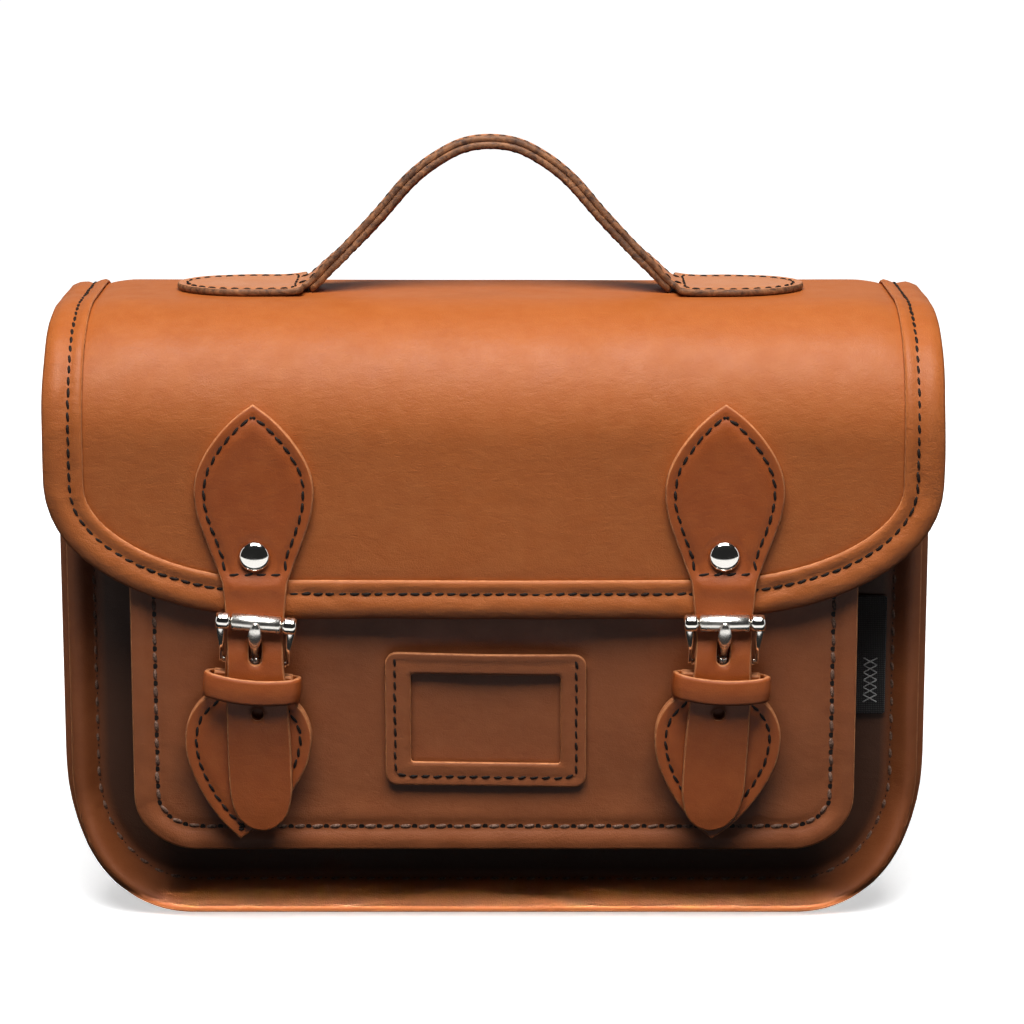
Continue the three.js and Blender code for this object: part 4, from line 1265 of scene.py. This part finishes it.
def tab_loop(side):
    """The neck of the lower tab, folded round the heel bar of the buckle."""
    radius = 2.7
    angle = np.linspace(-0.1, math.pi + 0.1, 20)
    bend = np.stack([HEEL[0] + radius * np.cos(angle), HEEL[1] + radius * np.sin(angle)], axis=1)
    path = np.vstack([[HEEL[0] + radius, 86.0], bend, [HEEL[0] - radius + 1.2, 88.0]])
    path = resample(smooth_line(path, 4), 0.8)
    normal = left_of(path)
    for half, (left, right) in (("a", (-9.2, -2.4)), ("b", (2.4, 9.2))):
        across = np.linspace(left, right, 6)
        outer, inner = [
            np.array([[(u, *(p + n * offset)) for u in across] for p, n in zip(path, normal)])
            for offset in (-1.05, 1.05)
        ]
        loop = strip_solid(f"tab_loop_{side}_{half}", outer, inner, [strap_leather, pale_edge])
        finish_piece(hang(loop, side), f"strap_{side}", "strap_leather")


def keeper(side):
    """The loop that holds the strap's tail: a narrow leather band, bowed by what it holds."""
    low, high = fitted("keeper")
    half = (high[0] - low[0]) / 2 - 0.85
    front, back = low[1] + 0.85, high[1] - 0.85
    ring = resample(rounded_box((-half, front), (half, back), 2.6, 8), 1.2, closed=True)
    normal = unit(np.roll(ring, -1, 0) - np.roll(ring, 1, 0))
    normal = np.stack([normal[:, 1], -normal[:, 0]], axis=1)
    levels = np.linspace(0, 1, 9)
    outer, inner = [], []
    for p, n in zip(ring, normal):
        front_share = smoothstep(back, front, p[1])
        middle = (1 - (p[0] / half) ** 2) * front_share
        z = low[2] + 0.8 + (high[2] - low[2] - 0.8) * levels - 1.5 * middle - 2.2 * (1 - front_share)
        swell = 0.5 * np.sin(np.pi * levels)
        for grid, offset in ((outer, 0.8), (inner, -0.8)):
            x_at = p[0] + n[0] * (offset + swell)
            y_at = p[1] + n[1] * (offset + swell * 0.8) - 1.2 * middle
            grid.append(np.stack([x_at, y_at, z], axis=1))
    band = strip_solid(f"keeper_{side}_leather", np.array(outer), np.array(inner), [strap_leather, pale_edge],
                       closed=True)
    finish_piece(hang(band, side, TAB_LEAN[side]), f"strap_{side}", "strap_leather", f"keeper_{side}")


def rounded_section(centre, across, out, size, power, sides=24):
    """A ring of points between an ellipse and a rectangle."""
    angle = np.linspace(0, 2 * math.pi, sides, endpoint=False)
    c = np.sign(np.cos(angle)) * np.abs(np.cos(angle)) ** power
    s = np.sign(np.sin(angle)) * np.abs(np.sin(angle)) ** power
    return centre + across * (size[0] * c)[:, None] + out * (size[1] * s)[:, None]


def buckle(side):
    """A roller buckle: two wedge-shaped legs with rolled knuckles, a pin, a heel bar, roller and tongue."""
    bodies = []
    sideways = np.array([1.0, 0.0, 0.0])
    along = np.array([0.0, *unit(HEEL - PIN)])
    out = np.array([0.0, along[2], -along[1]])
    knuckle = [(0, 8.75), (2.0, 8.75), (2.7, 9.1), (2.9, 9.8), (2.9, 12.3), (2.65, 13.1), (1.9, 13.6)]
    knuckle += [(0, 13.7)]
    for sign in (-1.0, 1.0):
        bodies.append(lathe(f"knuckle_{sign}", knuckle, np.array([0, *PIN]), (sign, 0, 0), nickel, 40))
        stations = []
        for t in np.linspace(0, 1, 14):
            near, far = 10.0 + 0.5 * t, 13.5 - 1.5 * smoothstep(0, 0.7, t)
            centre = np.array([sign * (near + far) / 2, *(PIN + (HEEL - PIN) * t)])
            centre += out * 0.9 * math.sin(math.pi * t)
            size = (abs(far - near) / 2, 2.0 - 0.5 * t)
            stations.append(rounded_section(centre, sideways, out, size, 0.62))
        bodies.append(loft(f"leg_{sign}", np.array(stations), nickel))
    for label, at, radius in (("heel", HEEL, 1.25), ("pin", PIN, 1.35)):
        bar = [(0, -10.6), (radius, -10.6), (radius, 10.6), (0, 10.6)]
        bodies.append(lathe(label, bar, np.array([0, *at]), (1, 0, 0), nickel, 24))
    piece = hang(joined(f"buckle_frame_{side}_metal", bodies), side)
    finish_piece(piece, f"buckle_{side}", "nickel", f"buckle_frame_{side}")
    length, outer, inner = 8.25, 2.85, 1.65
    section = [(inner, -length), (outer - 0.4, -length), (outer, -length + 0.45), (outer + 0.03, 0)]
    section += [(outer, length - 0.45), (outer - 0.4, length), (inner, length)]
    drum = lathe(f"roller_{side}_metal", section, np.array([0, *PIN]), (1, 0, 0), satin_nickel, 48, ring=True)
    finish_piece(hang(drum, side), f"roller_{side}", "nickel", f"roller_{side}")


def tongue(side):
    """The buckle's tongue: a flat prong that widens over the roller and ends in a point."""
    steps = np.array([(-1.6, 1.6), (-4.9, 4.8), (-8.0, 8.1), (-9.9, 12.1), (-10.35, 15.4)])
    line = smooth_line(steps + HEEL, 8)
    normal = -left_of(line)
    run = np.linspace(0, 1, len(line))
    width = 1.15 + 1.15 * bump_at(0.66, 0.24, run) - 0.5 * smoothstep(0.88, 1.0, run)
    thick = 0.8 - 0.25 * smoothstep(0.85, 1, run)
    stations = [
        rounded_section(np.array([0, *p]), np.array([1.0, 0, 0]), np.array([0, *n]), (w, th), 1.0, 20)
        for p, n, w, th in zip(line, normal, width, thick)
    ]
    arm = loft(f"tongue_arm_{side}", np.array(stations), satin_nickel)
    section = [(1.5, -1.45), (2.6, -1.45), (2.8, -1.1), (2.8, 1.1), (2.6, 1.45), (1.5, 1.45)]
    ring = lathe(f"tongue_ring_{side}", section, np.array([0, *HEEL]), (1, 0, 0), satin_nickel, 32, ring=True)
    piece = hang(joined(f"tongue_{side}_metal", [arm, ring]), side)
    finish_piece(piece, f"tongue_{side}", "nickel", f"tongue_{side}")


def magnet(side):
    """The two halves of a magnetic fastener: a base on the pocket, a stud on the lower tab."""
    for kind, body in (("magnet_base", "bag"), ("magnet_stud", f"strap_{side}")):
        low, high = fitted(kind)
        radius, thick = (high[0] - low[0]) / 2, high[1] - low[1]
        profile = [(0, 0), (radius * 0.97, 0), (radius, 0.2), (radius, thick * 0.7), (radius * 0.93, thick),
                   (radius * 0.5, thick), (radius * 0.45, thick * 0.8), (0, thick * 0.8)]
        centre = np.array([0, high[1], (low[2] + high[2]) / 2])
        disc = hang(lathe(f"{kind}_{side}_metal", profile, centre, (0, -1, 0), nickel), side)
        finish_piece(disc, body, "nickel", f"{kind}_{side}")


# ---- handle ---------------------------------------------------------------------------------------

handle_low, handle_high = span("handle_strap")
plate_low, plate_high = span("handle_tab_right")
HANDLE_X, HANDLE_Y = ((handle_low + handle_high) / 2)[:2]
HANDLE_HALF_WIDTH = (handle_high[1] - handle_low[1]) / 2
HANDLE_LAYER = 2.15
HANDLE_BACK_LEAN = 0.13
PLATE_INNER = 63.5
PLATE_ROUND = 26.0
LINING_END = 62.5
PLATE_OUTER = plate_high[0] - HANDLE_X
PLATE_HALF = (plate_high[1] - plate_low[1]) / 2
# Half of the handle's middle line, as (x, z), from its top to the end of a plate.
HANDLE_RISE = eased(smooth_line([
    (0, 263.8), (7, 263.1), (13.5, 260.8), (26.5, 252), (39, 237.8), (50, 226.2), (58, 219.6), (65, 216.2),
    (76, 215.75), (90, 215.7), (112, 215.7),
], 16), 9.0)
RISE_RUN = run_along(HANDLE_RISE)
RISE_TANGENT = unit(np.gradient(HANDLE_RISE, axis=0))
RISE_TANGENT[0] = (1, 0)
FLAP_CREST = FRONT_BEND - FRONT_CENTRE[0]


def run_at(x):
    return float(np.interp(x, HANDLE_RISE[:, 0], RISE_RUN))


def handle_surface(s, y, w):
    """s runs along the handle from its middle, y across it and w up from between its two layers."""
    run = np.abs(s)
    side = np.where(np.asarray(s) < 0, -1.0, 1.0)
    x, z = np.interp(run, RISE_RUN, HANDLE_RISE[:, 0]), np.interp(run, RISE_RUN, HANDLE_RISE[:, 1])
    tx, tz = np.interp(run, RISE_RUN, RISE_TANGENT[:, 0]), np.interp(run, RISE_RUN, RISE_TANGENT[:, 1])
    cup = -0.5 * ((y - HANDLE_Y) / HANDLE_HALF_WIDTH) ** 2 * smoothstep(run_at(58), run_at(20), run)
    out = w + cup
    on_plate = smoothstep(54, 64, x)
    sag = flap_swell(side * x, FLAP_CREST + y) * on_plate
    x, z = x - tz * out, z + tx * out + sag
    lean = HANDLE_BACK_LEAN * smoothstep(217, 232, z)
    back = y + lean * (z - 217)
    return np.stack([side * x + HANDLE_X, back, z - lean * (y - HANDLE_Y)], axis=-1)


def handle_outline():
    """The handle with its two end plates, cut in one piece."""
    neck, plate, tip = run_at(PLATE_INNER - 1.5), run_at(PLATE_INNER), run_at(PLATE_OUTER)
    half = HANDLE_HALF_WIDTH
    corner = [(neck, -half), (plate, -half - 1.0), (plate + 0.4, 1 - PLATE_HALF), (plate + 1.6, -PLATE_HALF)]
    bend = quarter((tip - PLATE_ROUND, 0), (PLATE_ROUND, PLATE_HALF - 0.5), -math.pi / 2, math.pi / 2, 20)
    back = np.array(corner)[::-1] * [1, -1]
    right = np.vstack([[(0, -half)], corner, bend, back])
    left = right[::-1] * [-1, 1]
    return np.vstack([right, [(0, half)], left[:-1]]) + [0, HANDLE_Y]


def handle_layers(bodies, start, end):
    """The outer strap, cut in one piece with its end plates, and the lining under it."""
    plate = run_at(PLATE_INNER)

    def relief(s, y, d):
        row = -0.38 * bump_at(3.0, 0.8, d) + 0.22 * bump_at(5.6, 1.6, d)
        inside = smoothstep(HANDLE_HALF_WIDTH, HANDLE_HALF_WIDTH - 2, np.abs(y - HANDLE_Y))
        cross = -0.38 * bump_at(plate + 3.6, 0.9, np.abs(s)) * inside
        return row + cross + 0.1 * wander(s, y, 8, 2)

    def top_layer(s, y, w):
        return handle_surface(s, y, w + 0.02)

    def lower_layer(s, y, w):
        return handle_surface(s, y, -0.02 - w)

    skins = [handle_leather, handle_edge]
    top = cut_sheet("handle_and_tabs_leather", handle_outline(), HANDLE_LAYER, top_layer, skins, spacing=2.4,
                    rings=(0.9, 1.7, 2.4, 3.0, 3.8), bevel=0.4, relief=relief, edge_step=1.2)
    bend_piece(top, bodies, start, end, "flap_leather", "handle_strap", "handle_tab_left", "handle_tab_right")
    corner = np.array([run_at(LINING_END), HANDLE_HALF_WIDTH])
    lining = rounded_box(-corner, corner, 1.0, 4) + [0, HANDLE_Y]
    under = cut_sheet("handle_lining_leather", lining, HANDLE_LAYER, lower_layer, skins, spacing=2.4,
                      rings=(0.9, 1.7, 2.4, 3.0), bevel=0.4, edge_step=1.4)
    bend_piece(under, bodies, start, end, "flap_leather", "handle_lining")


def handle():
    bodies = ("flap", "handle")
    start, end = (0, HANDLE_Y, 218.6), (0, HANDLE_Y, 233.0)
    handle_layers(bodies, start, end)
    plate, plate_tip = run_at(PLATE_INNER), run_at(PLATE_OUTER)
    rows, inset = [], 3.3
    for side in (-1.0, 1.0):
        across = HANDLE_Y + side * (HANDLE_HALF_WIDTH - 2.8)
        for label, reach, face in (("top", plate + 3, 1.0), ("under", run_at(LINING_END) - 2, -1.0)):
            s = np.linspace(-reach, reach, 240)
            rows.append((label, np.stack([s, np.full(240, across)], axis=1), face))
        near, half = plate + inset, PLATE_HALF - inset
        radii = (PLATE_ROUND - inset, half)
        bend = quarter((plate_tip - PLATE_ROUND, 0), radii, -math.pi / 2, math.pi / 2, 20)
        loop = np.vstack([[(near, 0), (near, -half)], bend, [(near, half), (near, 0)]])
        rows.append(("plate", loop * [side, 1] + [0, HANDLE_Y], 1.0))
    for n, (label, row, face) in enumerate(rows):
        row = resample(row, 0.8)
        level = np.full(len(row), face)
        low = handle_surface(row[:, 0], row[:, 1], level * (HANDLE_LAYER - 0.2))
        high = handle_surface(row[:, 0], row[:, 1], level * (HANDLE_LAYER + 1))
        name = f"handle_{label}_stitches_{n}"
        stitches = sew(name, low, unit(high - low), 4.2, dark_thread, radius=0.42, fill=0.8)
        bend_piece(stitches, bodies, start, end, "black_weave")


# ---- D-rings ----------------------------------------------------------------------------------------


CHAPE_WRAP = 2.9
CHAPE_LAYER = 1.05
RING_WIRE = 1.5


def chape(side, sign):
    """A leather tab folded round the D-ring's straight side, sewn and riveted to the gusset."""
    low, high = span(f"chape_{side}")
    pivot = joint_point(f"d_ring_{side}_swing")
    reach = abs(pivot[0])
    inner_x = reach - CHAPE_WRAP
    path = [(inner_x, low[2] + 0.5), (inner_x, 150), (inner_x, 164)]
    for a in np.linspace(math.pi, -0.35, 16):
        path.append((reach + CHAPE_WRAP * math.cos(a), pivot[2] + CHAPE_WRAP * math.sin(a)))
    path += [(inner_x + 2.6, 164.0), (inner_x + 2.35, 156), (inner_x + 2.3, low[2] + 0.5)]
    path = resample(smooth_line(path, 5), 1.3)
    near, far = low[1] + 1.2, high[1] - 1.2
    grids = []
    for offset in (CHAPE_LAYER, -CHAPE_LAYER):
        line = path + left_of(path) * offset
        grids.append(np.array([[(sign * x, y, z) for y in np.linspace(near, far, 10)] for x, z in line]))
    loop = strip_solid(f"chape_{side}_leather", *grids, [strap_leather, pale_edge])
    finish_piece(loop, "bag", "strap_leather", f"chape_{side}")
    face = sign * (inner_x + 2.3 + CHAPE_LAYER)
    row = np.array([(face - sign * 0.2, y, 154.0) for y in np.linspace(near + 2, far - 2, 20)])
    up = np.tile([sign, 0, 0], (20, 1))
    stitches = sew(f"chape_{side}_stitches", row, up, 4.1, dark_thread, radius=0.58, fill=0.68)
    finish_piece(stitches, "bag", "black_weave")
    low, high = span(f"chape_rivet_{side}")
    centre = np.array([face - sign * 0.1, (low[1] + high[1]) / 2, (low[2] + high[2]) / 2])
    rivet(f"chape_rivet_{side}_dome", centre, (sign, 0, 0), 3.9, "bag", f"chape_rivet_{side}")


def d_ring(side, sign):
    """A bent wire ring that hangs from its straight side, leaning out a little."""
    low, high = span(f"d_ring_{side}")
    pivot = joint_point(f"d_ring_{side}_swing")
    half = (high[1] - low[1]) / 2 - RING_WIRE
    drop, lean, corner = 20.0, 0.14, 1.2
    flat = np.vstack([
        quarter((-half + corner, -corner), (corner, corner), math.pi / 2, math.pi, 6),
        quarter((0, half - drop), (half, half), math.pi, 2 * math.pi, 40),
        quarter((half - corner, -corner), (corner, corner), 0, math.pi / 2, 6),
    ])
    across, down = resample(flat, 1.0, closed=True).T
    out = sign * math.sin(lean) * -down
    path = np.stack([pivot[0] + out, pivot[1] + across, pivot[2] + math.cos(lean) * down], axis=1)
    ring = tube(f"d_ring_{side}_metal", path, RING_WIRE, nickel, sides=20, closed=True)
    finish_piece(ring, f"d_ring_{side}", "nickel", f"d_ring_{side}")


# ---- the room ---------------------------------------------------------------------------------------


def floor():
    """A wide white table. It shows shadows but throws no light back at the bag."""
    n = Nodes("studio_floor")
    place = n.add("ShaderNodeNewGeometry").outputs["Position"]
    far = n.add("ShaderNodeVectorMath", operation="LENGTH")
    n.link(place, far.inputs[0])
    glow = n.ramp(far.outputs["Value"], 0.25, 0.9, 0.55, 1.0)
    n.link(glow, n.shader.inputs["Emission Strength"])
    n.shader.inputs["Emission Color"].default_value = (1, 1, 1, 1)
    tint = n.mix(n.ramp(n.noise(4, 2, vector=place), 0.3, 0.7), (0.80, 0.80, 0.80), (0.82, 0.82, 0.82))
    bpy.ops.mesh.primitive_plane_add(size=40, location=(0, 0, -0.0004))
    plane = bpy.context.object
    plane.name = "studio_floor"
    plane.data.materials.append(n.finish(tint, 0.8))
    plane.visible_diffuse = False
    plane.visible_glossy = False


def area_light(name, place, aim, size, power):
    """A soft light at a place in metres, turned towards a point."""
    data = bpy.data.lights.new(name, "AREA")
    data.shape = "RECTANGLE"
    data.size, data.size_y = size
    data.energy = power
    light = bpy.data.objects.new(name, data)
    light.location = place
    light.rotation_euler = (Vector(aim) - Vector(place)).to_track_quat("-Z", "Y").to_euler()
    bpy.context.scene.collection.objects.link(light)
    return light


def lights():
    """A wide softbox overhead, dim cards at the sides and behind, and two low ones: a card that only the
    metal mirrors, and a narrow strip that grazes the bag's foot."""
    world = bpy.data.worlds.new("studio_light")
    bpy.context.scene.world = world
    world.use_nodes = True
    background = world.node_tree.nodes["Background"]
    background.inputs["Color"].default_value = (1, 1, 1, 1)
    background.inputs["Strength"].default_value = 0.025
    area_light("overhead_softbox", (0, -0.50, 1.16), (0, 0, 0.12), (0.9, 0.78), 25.0)
    card = area_light("floor_card", (0, -0.30, 0.003), (0, -0.30, 1.0), (1.6, 0.30), 1.6)
    card.visible_diffuse = False
    for side, sign in SIDES:
        area_light(f"{side}_card", (sign * 1.1, 0.0, 0.35), (0, 0, 0.1), (0.6, 0.9), 1.6)
    area_light("back_card", (0, 1.15, 0.55), (0, 0, 0.12), (1.4, 0.9), 2.2)
    foot = area_light("foot_strip", (0, -0.30, 0.005), (0, 0, 0.003), (0.30, 0.004), 0.016)
    foot.data.spread = math.radians(2)
    bpy.context.scene.view_settings.view_transform = "Standard"
    bpy.context.scene.view_settings.gamma = 0.92


def camera():
    """The photo's view: from 0.39 m up and about 1.2 m in front, looking slightly down."""
    data = bpy.data.cameras.new("photo_view")
    data.sensor_width = 36.0
    data.lens = 122.06
    view = bpy.data.objects.new("photo_view", data)
    view.location = (0.0061, -1.1795, 0.390)
    view.rotation_euler = (math.radians(90 - 12.115), 0, 0)
    bpy.context.scene.collection.objects.link(view)
    bpy.context.scene.camera = view


camera()
lights()
floor()
front_panel()
main_gusset()
pocket()
label_window()
woven_label()
flap_leather_sheet()
flap_binding()
back_seam()
for side, sign in SIDES:
    strap(side)
    strap_rivets(side)
    lower_tab(side)
    tab_loop(side)
    keeper(side)
    buckle(side)
    tongue(side)
    magnet(side)
    chape(side, sign)
    d_ring(side, sign)
handle()
